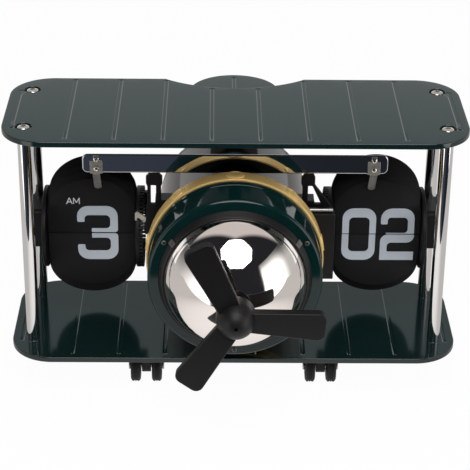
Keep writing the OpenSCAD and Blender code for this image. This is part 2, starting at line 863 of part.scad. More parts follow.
module tailplane() {
    corner_r = 5;
    middle_y = tail_far - tail_r;
    lead_y = tail_far - tail_chord;
    color(green) translate([0, 0, boom_top]) difference() {
        linear_extrude(tail_thick) {
            intersection() {
                translate([0, middle_y]) circle(r = tail_r);
                translate([-tail_r, middle_y]) square([2 * tail_r, tail_r]);
            }
            translate([-tail_r, lead_y + corner_r]) square([2 * tail_r, middle_y - lead_y - corner_r]);
            translate([-tail_r + corner_r, lead_y]) square([2 * (tail_r - corner_r), corner_r * 2]);
            for (x = [-1, 1]) translate([x * (tail_r - corner_r), lead_y + corner_r]) circle(r = corner_r);
        }
        translate([-groove_w / 2, lead_y - past, tail_thick - groove_deep])
            cube([groove_w, tail_chord + past - tail_groove_end, groove_deep + past]);
        translate([0, 0, -boom_top]) at_tail_screws() translate([0, 0, -past])
            cylinder(d = tail_screw_d + 2 * seat, h = tail_thick + 2 * past);
    }
}

// Card rail

module card_rail() {
    color(chrome) translate([0, 0, rail_mid]) difference() {
        plate_xz(rail_face, rail_t) rounded_rect(rail_len, rail_h, rail_corner_r);
        translate([0, 0, -rail_mid]) at_leaf_screws() rotate([-90, 0, 0])
            translate([0, 0, -past]) cylinder(d = leaf_screw_d + 2 * seat, h = rail_t + 3 * past);
    }
}

// Foot that joins a rail bracket to the barrel's side
module bracket_foot(side, low, high) {
    foot_len = 8;
    outer = side * (barrel_r + 1);
    inner = side * (barrel_bore_r - 8);
    difference() {
        translate([min(outer, inner), bracket_y, low]) cube([abs(outer - inner), foot_len, high - low]);
        rod_y(-barrel_front, barrel_back, barrel_r + seat);
    }
}

module rail_bracket_left() {
    outer = -barrel_r - 4.6;
    inner = -barrel_r + 1.8;
    flare = 0.6;
    color(black) {
        plate_xz(bracket_y, bracket_t) difference() {
            polygon([
                [outer, bracket_low], [inner, bracket_low], [inner, rail_bottom - 7.5],
                [inner + flare, rail_bottom - 6], [inner + flare, rail_bottom - 2.6],
                [inner - flare, rail_bottom - 1.4], [inner - flare, rail_mid],
                [outer + flare, rail_mid], [outer + flare, rail_bottom - 1.4],
                [outer - flare, rail_bottom - 2.6], [outer - flare, rail_bottom - 6],
                [outer, rail_bottom - 7.5]
            ]);
            translate([outer + 1.6, bracket_low + 2]) square([2.4, rail_bottom - bracket_low - 9]);
        }
        bracket_foot(-1, bracket_low, bracket_low + 4);
    }
}

module rail_bracket_right() {
    inner = barrel_r - 4.7;
    outer = barrel_r + 8.6;
    head = inner + 5.8;
    flare = 0.6;
    color(black) {
        plate_xz(bracket_y, bracket_t) difference() {
            polygon([
                [inner, bracket_low], [outer, bracket_low], [outer, bracket_low + 2],
                [head, rail_bottom - 6.5], [head, rail_bottom - 2.6], [head - flare, rail_bottom - 1.4],
                [head - flare, rail_mid], [inner + flare, rail_mid], [inner + flare, rail_bottom - 1.4],
                [inner - flare, rail_bottom - 2.6], [inner - flare, rail_bottom - 6],
                [inner, rail_bottom - 7.5]
            ]);
            polygon([
                [inner + 2.6, bracket_low + 2.6], [outer - 4.6, bracket_low + 2.6],
                [head - 1.2, rail_bottom - 7], [inner + 2.6, rail_bottom - 7]
            ]);
        }
        bracket_foot(1, bracket_low, bracket_low + 4);
    }
}

// Places its children at the screws of the leaf springs, on the rail's front face
module at_leaf_screws() {
    for (x = [-1, 1], z = [-1, 1])
        translate([x * leaf_x, rail_face, rail_mid + z * leaf_screw_gap / 2]) children();
}

module rail_screws() {
    head_d = 2.5;
    head_h = 0.8;
    color(steel) at_leaf_screws() rotate([90, 0, 0]) {
        translate([0, 0, seat + leaf_t]) difference() {
            cylinder(d = head_d, h = head_h);
            translate([-head_d, -0.2, head_h - 0.3]) cube([2 * head_d, 0.4, 1]);
        }
        translate([0, 0, -rail_t]) cylinder(d = leaf_screw_d, h = rail_t + seat + leaf_t + head_h / 2);
    }
}

// A leaf spring: a clip on the rail's face and a finger that bears on the front flap
module leaf_spring(side) {
    face = rail_face - seat;
    tip_h = flap_h + leaf_tip_rise;
    tip_y = flap_y + leaf_tip_rise * tan(flap_lean) - card_t / 2 - 0.4;
    color(steel) difference() {
        union() {
            plate_xz(face - leaf_t, leaf_t)
                translate([side * leaf_x, rail_mid]) square([leaf_clip_w, rail_h + 0.4], center = true);
            plate_yz(side * leaf_x - leaf_w / 2, leaf_w) polygon([
                [face, rail_bottom + 0.5], [face - leaf_t, rail_bottom + 0.5],
                    [face - leaf_t, rail_bottom - 0.9],
                [tip_y - leaf_t * 0.7, tip_h - 0.2], [tip_y, tip_h + 0.2], [face, rail_bottom - 0.6]
            ]);
        }
        at_leaf_screws() rotate([90, 0, 0]) translate([0, 0, -past])
            cylinder(d = leaf_screw_d + 2 * seat, h = leaf_t + 2 * past);
    }
}

module hour_leaf_spring() { leaf_spring(-1); }
module minute_leaf_spring() { leaf_spring(1); }

// Flip units

// Outline of a card, standing on its hinge line
card_points = concat(
    [[-card_w / 2, 0], [card_w / 2, 0]],
    [for (i = [0:20]) [card_w / 2 * cos(9 * i), card_len - card_end + card_end * sin(9 * i)]]
);

// A card on its hinge at y and z, leaning back by an angle
module card(side, y, z, lean) {
    translate([side * unit_x, y, z]) rotate([-lean, 0, 0]) rotate([90, 0, 0])
        linear_extrude(card_t, center = true) polygon(card_points);
}

// A share of a gain that grows evenly between two angles
function ramp(angle, from, to, gain) = gain * min(1, max(0, (angle - from) / (to - from)));

// How far a card leans back when its hinge has gone round the drum by an angle from the front
function card_lean(angle) = flap_lean
    + ramp(angle, 0, 52.5, 14.2) + ramp(angle, 52.5, 67.5, 30.3) + ramp(angle, 67.5, 165, 80)
    + ramp(angle, 165, 322.5, 33) + ramp(angle, 322.5, 337.5, 16);

// The cards whose hinges lie between two steps round the drum
module card_fan(side, first, last) {
    for (i = [first:last]) let (angle = half_pitch * (2 * i + 1))
        card(side, drum_back - hinge_r * cos(angle), axis_h + hinge_r * sin(angle), card_lean(angle));
}

module upper_cards(side) {
    color(black) card_fan(side, 1, floor(card_count * 0.44));
}

module lower_cards(side) {
    color(black) {
        card(side, flap_y + lower_card_step, flap_h - free, 180);
        card_fan(side, floor(card_count * 0.44) + 1, card_count - 2);
    }
}

module flap(side) {
    color(black) card(side, flap_y, flap_h, flap_lean);
}

// A drum: core, two end discs and crown teeth on the inner one
module drum(side, bore_r) {
    hub_end = block_x - block_w / 2 - free;
    color(black) difference() {
        union() {
            rod_x(side > 0 ? disc_inner : -hub_end, side > 0 ? hub_end : -disc_inner,
                drum_back, axis_h, core_r);
            for (x = [disc_inner - disc_t, disc_outer])
                rod_x(side > 0 ? x : -x - disc_t, side > 0 ? x + disc_t : -x, drum_back, axis_h, disc_r);
            for (i = [0:tooth_count - 1])
                translate([side * (tooth_tip_x + tooth_len / 2 + 0.1), drum_back, axis_h])
                    rotate([i * 360 / tooth_count, 0, 0]) translate([0, 0, disc_r - tooth_h / 2])
                        cube([tooth_len + 0.2, PI * disc_r / tooth_count, tooth_h], center = true);
        }
        rod_x(-wing_span, wing_span, drum_back, axis_h, bore_r);
    }
}

module hour_drum() { drum(-1, shaft_d / 2 + running); }
module hour_upper_cards() { upper_cards(-1); }
module hour_lower_cards() { lower_cards(-1); }
module hour_flap() { flap(-1); }
module minute_drum() { drum(1, shaft_d / 2 + seat); }
module minute_upper_cards() { upper_cards(1); }
module minute_lower_cards() { lower_cards(1); }
module minute_flap() { flap(1); }

module cross_shaft() {
    shaft_end = block_x + block_w / 2 - 0.5;
    color(steel) rod_x(-shaft_end, shaft_end, drum_back, axis_h, shaft_d / 2);
}

module barrel_bushes() {
    bush_inner_x = barrel_bore_r - 3;
    color(brass) for (s = [-1, 1]) difference() {
        union() {
            rod_x(s > 0 ? bush_inner_x : -bush_flange_x, s > 0 ? bush_flange_x : -bush_inner_x,
                drum_back, axis_h, shaft_bush_r);
            difference() {
                rod_x(s * (barrel_r + 0.6) - 1, s * (barrel_r + 0.6) + 1,
                    drum_back, axis_h, shaft_bush_r + 1.4);
                rod_y(-barrel_front, barrel_back, barrel_r + seat);
            }
        }
        rod_x(-wing_span, wing_span, drum_back, axis_h, shaft_d / 2 + running);
    }
}

module carry_finger() {
    outer = -tooth_tip_x + free + 0.1;
    inner = -bush_flange_x - free;
    boss_r = shaft_d / 2 + 2;
    finger_w = 3;
    color(steel) difference() {
        union() {
            rod_x(outer, inner, drum_back, axis_h, boss_r);
            translate([outer, drum_back - finger_w / 2, axis_h]) cube([1.2, finger_w, disc_r - 1]);
        }
        rod_x(-wing_span, wing_span, drum_back, axis_h, shaft_d / 2 + seat);
    }
}

// A block that is clamped on a rear strut and carries the end of the cross shaft
module bearing_block(side) {
    nose_y = drum_back - 4.6;
    tail_y = strut_depth / 2 + strut_d / 2 + 1.6;
    color(black) difference() {
        translate([side * block_x, (nose_y + tail_y) / 2, axis_h]) rotate([90, 0, 90])
            linear_extrude(block_w, center = true) rounded_rect(tail_y - nose_y, block_h, 2.5);
        translate([side * block_x, strut_depth / 2, lower_top])
            cylinder(d = strut_d + 2 * seat, h = wing_gap);
        rod_x(-wing_span, wing_span, drum_back, axis_h, shaft_d / 2 + running);
    }
}

module bearing_block_left() { bearing_block(-1); }
module bearing_block_right() { bearing_block(1); }

// A spring strip on the barrel's left side that bears on the hour drum's teeth
module hour_detent() {
    strip_t = 0.5;
    front = drum_back - disc_r - 1;
    low = axis_h + 5.4;
    high = axis_h + 10.4;
    color(steel) {
        translate([-disc_inner, front - strip_t, low])
            cube([disc_inner - barrel_r - 0.4, strip_t, high - low]);
        difference() {
            translate([-barrel_r - 0.9, front - strip_t, low]) cube([2.6, 8, high - low]);
            rod_y(-barrel_front, barrel_back, barrel_r + seat);
        }
    }
}

// The black box in front of the minute drum's inner disc, with its foot
module drive_box() {
    back = drum_back - disc_r - 0.6;
    front = band_back + 0.6;
    low = axis_h - 8;
    inner_x = barrel_bore_r - 6;
    foot_x = barrel_r + 2;
    foot_h = 7;
    color(black) difference() {
        union() {
            translate([inner_x, front, low])
                cube([disc_inner - inner_x, back - front, drive_box_top - low]);
            translate([foot_x, front, low - foot_h])
                cube([disc_inner - foot_x, back - front, foot_h + 0.2]);
        }
        rod_y(-barrel_front, barrel_back, barrel_r + seat);
    }
}

// The bright rod that lies on the drive box and ends at the barrel
module drive_rod() {
    radius = 0.9;
    color(steel) difference() {
        rod_x(barrel_bore_r - 6, disc_inner - 1,
            drum_back - disc_r - 3, drive_box_top + radius + seat, radius);
        rod_y(-barrel_front, barrel_back, barrel_r + seat);
    }
}

// Drive

// A spur gear drawn flat, with slim teeth
module gear_shape(teeth) {
    pitch = 360 / teeth;
    root_r = gear_module * (teeth / 2 - 1.2);
    tip_r = gear_module * (teeth / 2 + 0.9);
    circle(r = root_r);
    for (i = [0:teeth - 1]) rotate(i * pitch) polygon([
        [root_r * 0.98 * cos(pitch * 0.3), -root_r * 0.98 * sin(pitch * 0.3)],
        [tip_r * cos(pitch * 0.11), -tip_r * sin(pitch * 0.11)],
        [tip_r * cos(pitch * 0.11), tip_r * sin(pitch * 0.11)],
        [root_r * 0.98 * cos(pitch * 0.3), root_r * 0.98 * sin(pitch * 0.3)]
    ]);
}

module shaft_gear() {
    color(brass) difference() {
        plate_yz(gear_x, gear_w) translate([drum_back, axis_h]) rotate(mesh_angle) gear_shape(gear_teeth);
        rod_x(0, wing_span, drum_back, axis_h, shaft_d / 2 + seat);
    }
}

module motor_pinion() {
    facing = mesh_angle + 180 + 180 / pinion_teeth;
    color(brass) {
        plate_yz(gear_x - 0.4, gear_w + 0.8) translate([pinion_y, pinion_h])
            rotate(facing) gear_shape(pinion_teeth);
        rod_x(motor_x - 6, gear_x, pinion_y, pinion_h, motor_shaft_d / 2);
    }
}

module drive_motor() {
    color(steel) difference() {
        union() {
            rod_x(motor_x - motor_len, motor_x, pinion_y, pinion_h, motor_r);
            intersection() {
                translate([motor_x - motor_len + 3, pinion_y - 7, pinion_h])
                    cube([motor_len - 6, 14, barrel_r]);
                rod_y(-barrel_front, barrel_back, barrel_bore_r - seat);
            }
        }
        rod_x(motor_x - 8, gear_x, pinion_y, pinion_h, motor_shaft_d / 2 + running);
    }
}

module time_knob() {
    ribs = 18;
    knob_front = cover_rear + free;
    stem_front = drum_back + setting_reach - setting_wheel_w / 2;
    color(black) translate([knob_x, 0, axis_h]) rotate([-90, 0, 0]) {
        translate([0, 0, stem_front]) cylinder(d = stem_d, h = knob_front + 1 - stem_front);
        translate([0, 0, knob_front]) difference() {
            cylinder(d = knob_d, h = knob_len);
            for (i = [0:ribs - 1]) rotate(i * 360 / ribs) translate([knob_d / 2 + 0.2, 0, 1.2])
                cylinder(d = 1.1, h = knob_len, $fn = 16);
        }
    }
}

module setting_wheel() {
    front = drum_back + setting_reach - setting_wheel_w / 2;
    color(black) translate([knob_x, front, axis_h]) rotate([-90, 0, 0]) difference() {
        cylinder(r = setting_wheel_r, h = setting_wheel_w);
        translate([0, 0, -past]) cylinder(d = stem_d + 2 * seat, h = setting_wheel_w + 2 * past);
    }
}

module battery_cell() {
    button_len = 1.5;
    color(brass) translate([0, cell_rear, cell_h]) rotate([90, 0, 0]) {
        cylinder(d = cell_d, h = cell_len - button_len);
        cylinder(d = cell_d * 0.25, h = cell_len);
    }
}

module battery_cradle() {
    color(black) difference() {
        intersection() {
            translate([-cell_d / 2 - 1, cell_rear - cell_len - 2, axis_h - barrel_r])
                cube([cell_d + 2, cell_len + 1.6, cell_h - 4 - axis_h + barrel_r]);
            rod_y(-barrel_front, barrel_back, barrel_bore_r - seat);
        }
        translate([0, barrel_back + past, cell_h]) rotate([90, 0, 0])
            cylinder(d = cell_d + 2 * seat, h = cell_len + past + 0.2);
    }
}

module battery_cap() {
    slot_w = 2.2;
    lid_t = 2;
    color(black) at_cap() difference() {
        union() {
            translate([0, 0, barrel_back + 0.3]) cylinder(r = cap_hole_r, h = cover_t);
            translate([0, 0, cover_rear + 0.1]) cylinder(r = cap_hole_r + cap_rim, h = lid_t);
        }
        translate([-cap_hole_r * 0.7, -slot_w / 2, cover_rear + lid_t - 0.9])
            cube([cap_hole_r * 1.4, slot_w, 2]);
    }
}

lower_wing();
upper_wing();
front_struts();
rear_struts();
strut_screws();
strut_washers();
wheel_legs();
under_wing_screws();
wheel_axles();
front_left_wheels();
front_right_wheels();
rear_left_wheels();
rear_right_wheels();
saddle();
fuselage_barrel();
engine_cowl();
brass_band();
bezel_ring();
nose_dome();
bezel_clips();
bezel_screws();
propeller();
propeller_shaft();
propeller_bush();
propeller_clip();
rear_cover();
rear_screws();
tail_boom();
tailplane();
card_rail();
rail_bracket_left();
rail_bracket_right();
rail_screws();
hour_leaf_spring();
minute_leaf_spring();
hour_drum();
hour_upper_cards();
hour_lower_cards();
hour_flap();
minute_drum();
minute_upper_cards();
minute_lower_cards();
minute_flap();
cross_shaft();
barrel_bushes();
carry_finger();
bearing_block_left();
bearing_block_right();
hour_detent();
drive_box();
drive_rod();
drive_motor();
motor_pinion();
shaft_gear();
time_knob();
setting_wheel();
battery_cell();
battery_cradle();
battery_cap();
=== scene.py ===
"""Looks of the biplane flip clock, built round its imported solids.

Sizes are in millimetres, in the frame of the solids: +X right, +Y back, +Z up, the table at Z = 0.
"""

import json
import math

import bmesh
import bpy
from mathutils import Matrix, Vector
from mathutils.geometry import delaunay_2d_cdt


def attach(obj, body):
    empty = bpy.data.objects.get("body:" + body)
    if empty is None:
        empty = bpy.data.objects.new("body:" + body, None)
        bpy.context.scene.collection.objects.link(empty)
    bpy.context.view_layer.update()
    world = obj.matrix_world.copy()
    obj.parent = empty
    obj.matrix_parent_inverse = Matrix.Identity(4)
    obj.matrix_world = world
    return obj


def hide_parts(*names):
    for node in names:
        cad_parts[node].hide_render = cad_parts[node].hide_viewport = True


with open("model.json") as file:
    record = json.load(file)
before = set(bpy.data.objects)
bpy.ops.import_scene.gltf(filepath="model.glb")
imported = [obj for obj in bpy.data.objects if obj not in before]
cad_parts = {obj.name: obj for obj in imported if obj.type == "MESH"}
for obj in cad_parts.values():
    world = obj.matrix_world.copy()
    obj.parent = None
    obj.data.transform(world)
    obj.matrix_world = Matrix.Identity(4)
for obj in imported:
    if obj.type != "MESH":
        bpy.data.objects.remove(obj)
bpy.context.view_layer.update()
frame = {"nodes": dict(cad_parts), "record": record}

MM = 0.001

# Places that the pieces share with the solids
AXIS_H = 66.0
BARREL_R = 36.0
STRUT_X = 95.0
STRUT_Y = 21.75
WING_FRONT = -39.3
WING_REAR = 36.7
WING_HALF = 105.0
WING_CORNER = 20.0
LOWER_BOTTOM = 18.0
LOWER_TOP = 20.6
UPPER_BOTTOM = 127.6
UPPER_TOP = 130.2
UNIT_X = 67.4
CARD_W = 41.2
CARD_LEN = 27.6
CARD_END = 17.0
CARD_T = 0.3
DRUM_Y = 7.7
HINGE_R = 10.0
FLAP_Y = -2.2144
FLAP_H = 67.3053
FLAP_LEAN = 2.5
RAIL_FACE = -10.9
RAIL_MID = 107.1
RAIL_BOTTOM = 102.5
RAIL_TOP = 111.7
LEAF_X = 63.8
UNITS = (("hour", -1), ("minute", 1))


def move(x, y, z):
    """A shift, in the unit of what it moves."""
    return Matrix.Translation((x, y, z))


def spin(degrees, axis):
    """A turn about an axis, by an angle in degrees."""
    return Matrix.Rotation(math.radians(degrees), 4, axis)


def new_object(name, data):
    """An object in the scene."""
    made = bpy.data.objects.new(name, data)
    bpy.context.scene.collection.objects.link(made)
    return made


# Local +Z becomes the fuselage's +Y, or a plate drawn in X and Y stands up to face the front
FUSELAGE = move(0, 0, AXIS_H) @ spin(-90, "X")
FACING_FRONT = spin(90, "X")


# Node sheets: shader maths, finishes and geometry recipes

def tint(levels):
    """A colour from screen levels of 0 to 255, for Blender's linear sockets."""
    shares = [level / 255 for level in levels]
    return (*(s / 12.92 if s <= 0.04045 else ((s + 0.055) / 1.055) ** 2.4 for s in shares), 1.0)


class Value:
    """A socket that takes part in arithmetic: each operator adds a Math node."""

    def __init__(self, sheet, socket):
        self.sheet = sheet
        self.socket = socket

    def maths(self, operation, *terms):
        return self.sheet.node("ShaderNodeMath", dict(enumerate(terms)), operation=operation)

    def __add__(self, other):
        return self.maths("ADD", self, other)

    def __radd__(self, other):
        return self.maths("ADD", other, self)

    def __sub__(self, other):
        return self.maths("SUBTRACT", self, other)

    def __rsub__(self, other):
        return self.maths("SUBTRACT", other, self)

    def __mul__(self, other):
        return self.maths("MULTIPLY", self, other)

    def __rmul__(self, other):
        return self.maths("MULTIPLY", other, self)

    def __truediv__(self, other):
        return self.maths("DIVIDE", self, other)

    def __rtruediv__(self, other):
        return self.maths("DIVIDE", other, self)


class Sheet:
    """A node tree that is filled node by node."""

    def __init__(self, tree):
        self.tree = tree

    def feed(self, socket, value):
        if isinstance(value, Value):
            self.tree.links.new(value.socket, socket)
        else:
            socket.default_value = value

    def node(self, kind, inputs=None, output=0, **settings):
        """Adds a node: its settings first, then the values or links of its sockets."""
        made = self.tree.nodes.new(kind)
        for name, value in settings.items():
            setattr(made, name, value)
        for socket, value in (inputs or {}).items():
            self.feed(made.inputs[socket], value)
        if made.outputs:
            return Value(self, made.outputs[output])
        return None

    def split(self, vector):
        """The X, Y and Z of a vector."""
        made = self.node("ShaderNodeSeparateXYZ", {0: vector}).socket.node
        return [Value(self, socket) for socket in made.outputs]

    def ray_kind(self, label):
        """1 for rays of a kind, by its label on the Light Path node, and otherwise 0."""
        made = self.node("ShaderNodeLightPath").socket.node
        return Value(self, made.outputs[label])

    def limits(self, value, low, high, at_low=0.0, at_high=1.0, smooth=True):
        """Takes a value from its own range to another, and holds it at the ends."""
        inputs = {"Value": value, "From Min": low, "From Max": high, "To Min": at_low, "To Max": at_high}
        kind = "SMOOTHSTEP" if smooth else "LINEAR"
        return self.node("ShaderNodeMapRange", inputs, interpolation_type=kind)

    def mixed(self, factor, first, second):
        return self.node("ShaderNodeMix", {0: factor, 6: first, 7: second}, 2, data_type="RGBA")


class Finish(Sheet):
    """A procedural surface: constants sit on the shader, and patterns read Object coordinates."""

    by_slot = {}

    def __init__(self, name, slot=None, **constants):
        self.slot = slot or name
        self.by_slot.setdefault(self.slot, self)
        self.material = bpy.data.materials.new(name)
        self.material.use_nodes = True
        super().__init__(self.material.node_tree)
        self.shader = self.tree.nodes["Principled BSDF"]
        self.point = self.node("ShaderNodeTexCoord", output="Object")
        for label, value in constants.items():
            self.shader.inputs[label.replace("_", " ")].default_value = value

    def noise(self, grain, detail=2.0, stretch=(1, 1, 1), offset=0.0):
        """Noise whose grain is a size in millimetres, drawn out along the axes."""
        scale = [1 / (grain * MM * axis) for axis in stretch]
        spot = self.node("ShaderNodeMapping", {
            "Vector": self.point, "Location": (offset, offset, offset), "Scale": scale})
        return self.node("ShaderNodeTexNoise", {"Vector": spot, "Scale": 1.0, "Detail": detail})

    def colour(self, value):
        self.feed(self.shader.inputs["Base Color"], value)

    def roughness(self, value):
        self.feed(self.shader.inputs["Roughness"], value)

    def relief(self, height, depth):
        """Bump from a height of 0 to 1 over a depth in millimetres."""
        inputs = {"Height": height, "Distance": depth * MM, "Strength": 1.0}
        self.feed(self.shader.inputs["Normal"], self.node("ShaderNodeBump", inputs))


class Recipe(Sheet):
    """A Geometry Nodes tree with named inputs, which is run once for each piece."""

    KINDS = {"count": "NodeSocketInt", "finish": "NodeSocketMaterial"}

    def __init__(self, name, labels):
        tree = bpy.data.node_groups.new(name, "GeometryNodeTree")
        super().__init__(tree)
        tree.interface.new_socket("shape", in_out="INPUT", socket_type="NodeSocketGeometry")
        for label in labels + ["finish"]:
            kind = self.KINDS.get(label, "NodeSocketFloat")
            tree.interface.new_socket(label, in_out="INPUT", socket_type=kind)
        tree.interface.new_socket("shape", in_out="OUTPUT", socket_type="NodeSocketGeometry")
        self.entry = self.node("NodeGroupInput").socket.node

    def given(self, label):
        return Value(self, self.entry.outputs[label])

    def index(self):
        return self.node("GeometryNodeInputIndex")

    def vector(self, x=0.0, y=0.0, z=0.0):
        return self.node("ShaderNodeCombineXYZ", {0: x, 1: y, 2: z})

    def points(self, count):
        return self.node("GeometryNodeMeshLine", {"Count": count, "Offset": (0.0, 0.0, 0.0)})

    def place_copies(self, points, rotation):
        """Ends the tree: copies of the shape on points, made real, with their finish."""
        inputs = {"Points": points, "Instance": self.given("shape"), "Rotation": rotation}
        copies = self.node("GeometryNodeInstanceOnPoints", inputs)
        solid = self.node("GeometryNodeRealizeInstances", {0: copies})
        inputs = {"Geometry": solid, "Material": self.given("finish")}
        self.node("NodeGroupOutput", {"shape": self.node("GeometryNodeSetMaterial", inputs)})

    def run(self, name, shape, finish, **values):
        """The tree's result on a shape, as a plain mesh in millimetres."""
        holder = new_object(name, plain_mesh(shape, name))
        modifier = holder.modifiers.new("recipe", "NODES")
        modifier.node_group = self.tree
        values["finish"] = finish.material
        for socket in self.tree.interface.items_tree:
            if socket.in_out == "INPUT" and socket.name in values:
                modifier[socket.identifier] = values[socket.name]
        settle(holder)
        made = holder.data
        bpy.data.objects.remove(holder)
        return made


# Flat outlines, in millimetres and anticlockwise

def arc(x, y, radius, start, stop, steps):
    """Points of an arc, with its angles in degrees."""
    angles = [math.radians(start + (stop - start) * i / steps) for i in range(steps + 1)]
    return [(x + radius * math.cos(a), y + radius * math.sin(a)) for a in angles]


def fillet(corners, steps=5):
    """A closed outline whose corners (x, y, radius) are rounded."""
    outline = []
    for i, (x, y, radius) in enumerate(corners):
        here = Vector((x, y))
        before = (Vector(corners[i - 1][:2]) - here).normalized()
        after = (Vector(corners[(i + 1) % len(corners)][:2]) - here).normalized()
        if radius <= 0:
            outline.append((x, y))
            continue
        half = before.angle(after) / 2
        reach = radius / math.tan(half)
        middle = here + (before + after).normalized() * (radius / math.sin(half))
        start = here + before * reach - middle
        stop = here + after * reach - middle
        sweep = start.angle_signed(stop)
        for k in range(steps + 1):
            spoke = start.copy()
            spoke.rotate(Matrix.Rotation(-sweep * k / steps, 2))
            outline.append((middle.x + spoke.x, middle.y + spoke.y))
    return outline


def box(left, low, right, high, radius, steps=5):
    """A rectangle with rounded corners."""
    spots = ((left, low), (right, low), (right, high), (left, high))
    return fillet([(x, y, radius) for x, y in spots], steps)


def inset(outline, distance):
    """The outline moved inwards by a distance."""
    moved = []
    for i, point in enumerate(outline):
        before = (Vector(point) - Vector(outline[i - 1])).normalized()
        after = (Vector(outline[(i + 1) % len(outline)]) - Vector(point)).normalized()
        normal = Vector((-before.y - after.y, before.x + after.x))
        share = max(0.25, 1 + before.dot(after))
        moved.append((point[0] + normal.x * distance / share, point[1] + normal.y * distance / share))
    return moved


def inside(point, outline):
    """Whether a point lies within an outline."""
    x, y = point
    found = False
    for (x1, y1), (x2, y2) in zip(outline, outline[1:] + outline[:1]):
        if (y1 > y) != (y2 > y) and x < (x2 - x1) * (y - y1) / (y2 - y1) + x1:
            found = not found
    return found


# Solid shapes, added to a mesh in millimetres

def circle(radius, count, z, x=0.0, y=0.0):
    """A level ring of points about a middle."""
    angles = [math.tau * i / count for i in range(count)]
    return [(x + radius * math.cos(a), y + radius * math.sin(a), z) for a in angles]


def skin(mesh, rings, place=Matrix(), first_cap=True, last_cap=True):
    """Joins rings of equal count with faces, and closes the ends."""
    rows = [[mesh.verts.new(place @ Vector(point)) for point in ring] for ring in rings]
    for low, high in zip(rows, rows[1:]):
        for i in range(len(low)):
            k = (i + 1) % len(low)
            mesh.faces.new((low[i], low[k], high[k], high[i]))
    if first_cap:
        mesh.faces.new(list(reversed(rows[0])))
    if last_cap:
        mesh.faces.new(rows[-1])


def turn(mesh, profile, place=Matrix(), segments=96):
    """A closed profile of (radius, along), turned round the local Z axis."""
    rows = []
    for radius, along in profile:
        count = 1 if radius < 1e-6 else segments
        rows.append([mesh.verts.new(place @ Vector(point)) for point in circle(radius, count, along)])
    for low, high in zip(rows, rows[1:] + rows[:1]):
        for i in range(segments):
            k = i + 1
            ring = (low[i % len(low)], low[k % len(low)], high[k % len(high)], high[i % len(high)])
            corners = list(dict.fromkeys(ring))
            if len(corners) > 2:
                mesh.faces.new(corners)


def eased_rings(outline, low, high, edge, steps):
    """Rings up the side of a plate between two heights, with its edges rounded."""
    turns = [math.pi / 2 * i / steps for i in range(steps + 1)]
    levels = [(edge * (1 - math.sin(a)), low + edge * (1 - math.cos(a))) for a in turns]
    levels += [(inward, low + high - z) for inward, z in reversed(levels)]
    return [[(x, y, z) for x, y in inset(outline, inward)] for inward, z in levels]


def slab(mesh, outline, low, high, edge, place=Matrix(), steps=3):
    """A flat plate between two heights, with its edges rounded."""
    skin(mesh, eased_rings(outline, low, high, edge, steps), place)


def recess_ring(count, kind, size, z):
    """A ring that follows a hexagon or a cross, for a screw's drive."""
    ring = []
    for i in range(count):
        angle = math.tau * i / count
        if kind == "hexagon":
            radius = size / 2 / math.cos((angle + math.pi / 6) % (math.pi / 3) - math.pi / 6)
        else:
            along = max(abs(math.cos(angle)), 1e-6)
            across = max(abs(math.sin(angle)), 1e-6)
            arm = size * 0.17
            radius = max(min(size / 2 / along, arm / across), min(size / 2 / across, arm / along))
        ring.append((radius * math.cos(angle), radius * math.sin(angle), z))
    return ring


def screw_head(radius, height, kind, drive, place=Matrix()):
    """A new shape: a domed screw head on Z = 0 with a recess of a kind and size."""
    mesh = bmesh.new()
    count = 48
    rim = height * 0.45
    levels = [(radius, -0.2), (radius, rim)]
    levels += [(radius * math.cos(a), rim + (height - rim) * math.sin(a)) for a in (0.35, 0.7, 1.0)]
    rings = [circle(r, count, z) for r, z in levels]
    rings.append(recess_ring(count, kind, drive, height * 0.97))
    rings.append(recess_ring(count, kind, drive * 0.92, height * 0.35))
    skin(mesh, rings, place)
    return mesh


def strip(mesh, path, width, thick, x_middle, tip=0.0):
    """A bent metal strip: a path in Y and Z, a width along X, and a rounded tip."""
    rings = []
    for i, (y, z) in enumerate(path):
        back = Vector(path[max(i - 1, 0)])
        ahead = Vector(path[min(i + 1, len(path) - 1)])
        along = (ahead - back).normalized()
        normal = Vector((-along.y, along.x)) * thick / 2
        left_over = (Vector(path[-1]) - Vector((y, z))).length
        half = width / 2
        if left_over < tip:
            half *= math.sqrt(max(0.04, 1 - ((tip - left_over) / tip) ** 2))
        rings.append([(x_middle + sx * half, y + s * normal.x, z + s * normal.y)
                      for sx, s in ((-1, -1), (1, -1), (1, 1), (-1, 1))])
    skin(mesh, rings)


# Pieces

slot_of = {part["node"]: part["material_slot"] for part in frame["record"]["subparts"]}
bodies = frame["record"]["behaviour"]["bodies"]
body_of = {node: body for body, nodes in bodies.items() for node in nodes}


def shade(mesh, sharp):
    """Smooth faces, with edges sharper than an angle in degrees left crisp."""
    work = bmesh.new()
    work.from_mesh(mesh)
    for face in work.faces:
        face.smooth = True
    for edge in work.edges:
        if len(edge.link_faces) == 2:
            edge.smooth = edge.calc_face_angle(0.0) < math.radians(sharp)
    work.to_mesh(mesh)
    work.free()


def plain_mesh(shape, name):
    """A mesh as it is, or a shape in progress with doubles merged and faces turned outwards."""
    if isinstance(shape, bpy.types.Mesh):
        return shape
    bmesh.ops.remove_doubles(shape, verts=shape.verts, dist=1e-4)
    bmesh.ops.recalc_face_normals(shape, faces=shape.faces)
    made = bpy.data.meshes.new(name)
    shape.to_mesh(made)
    shape.free()
    return made


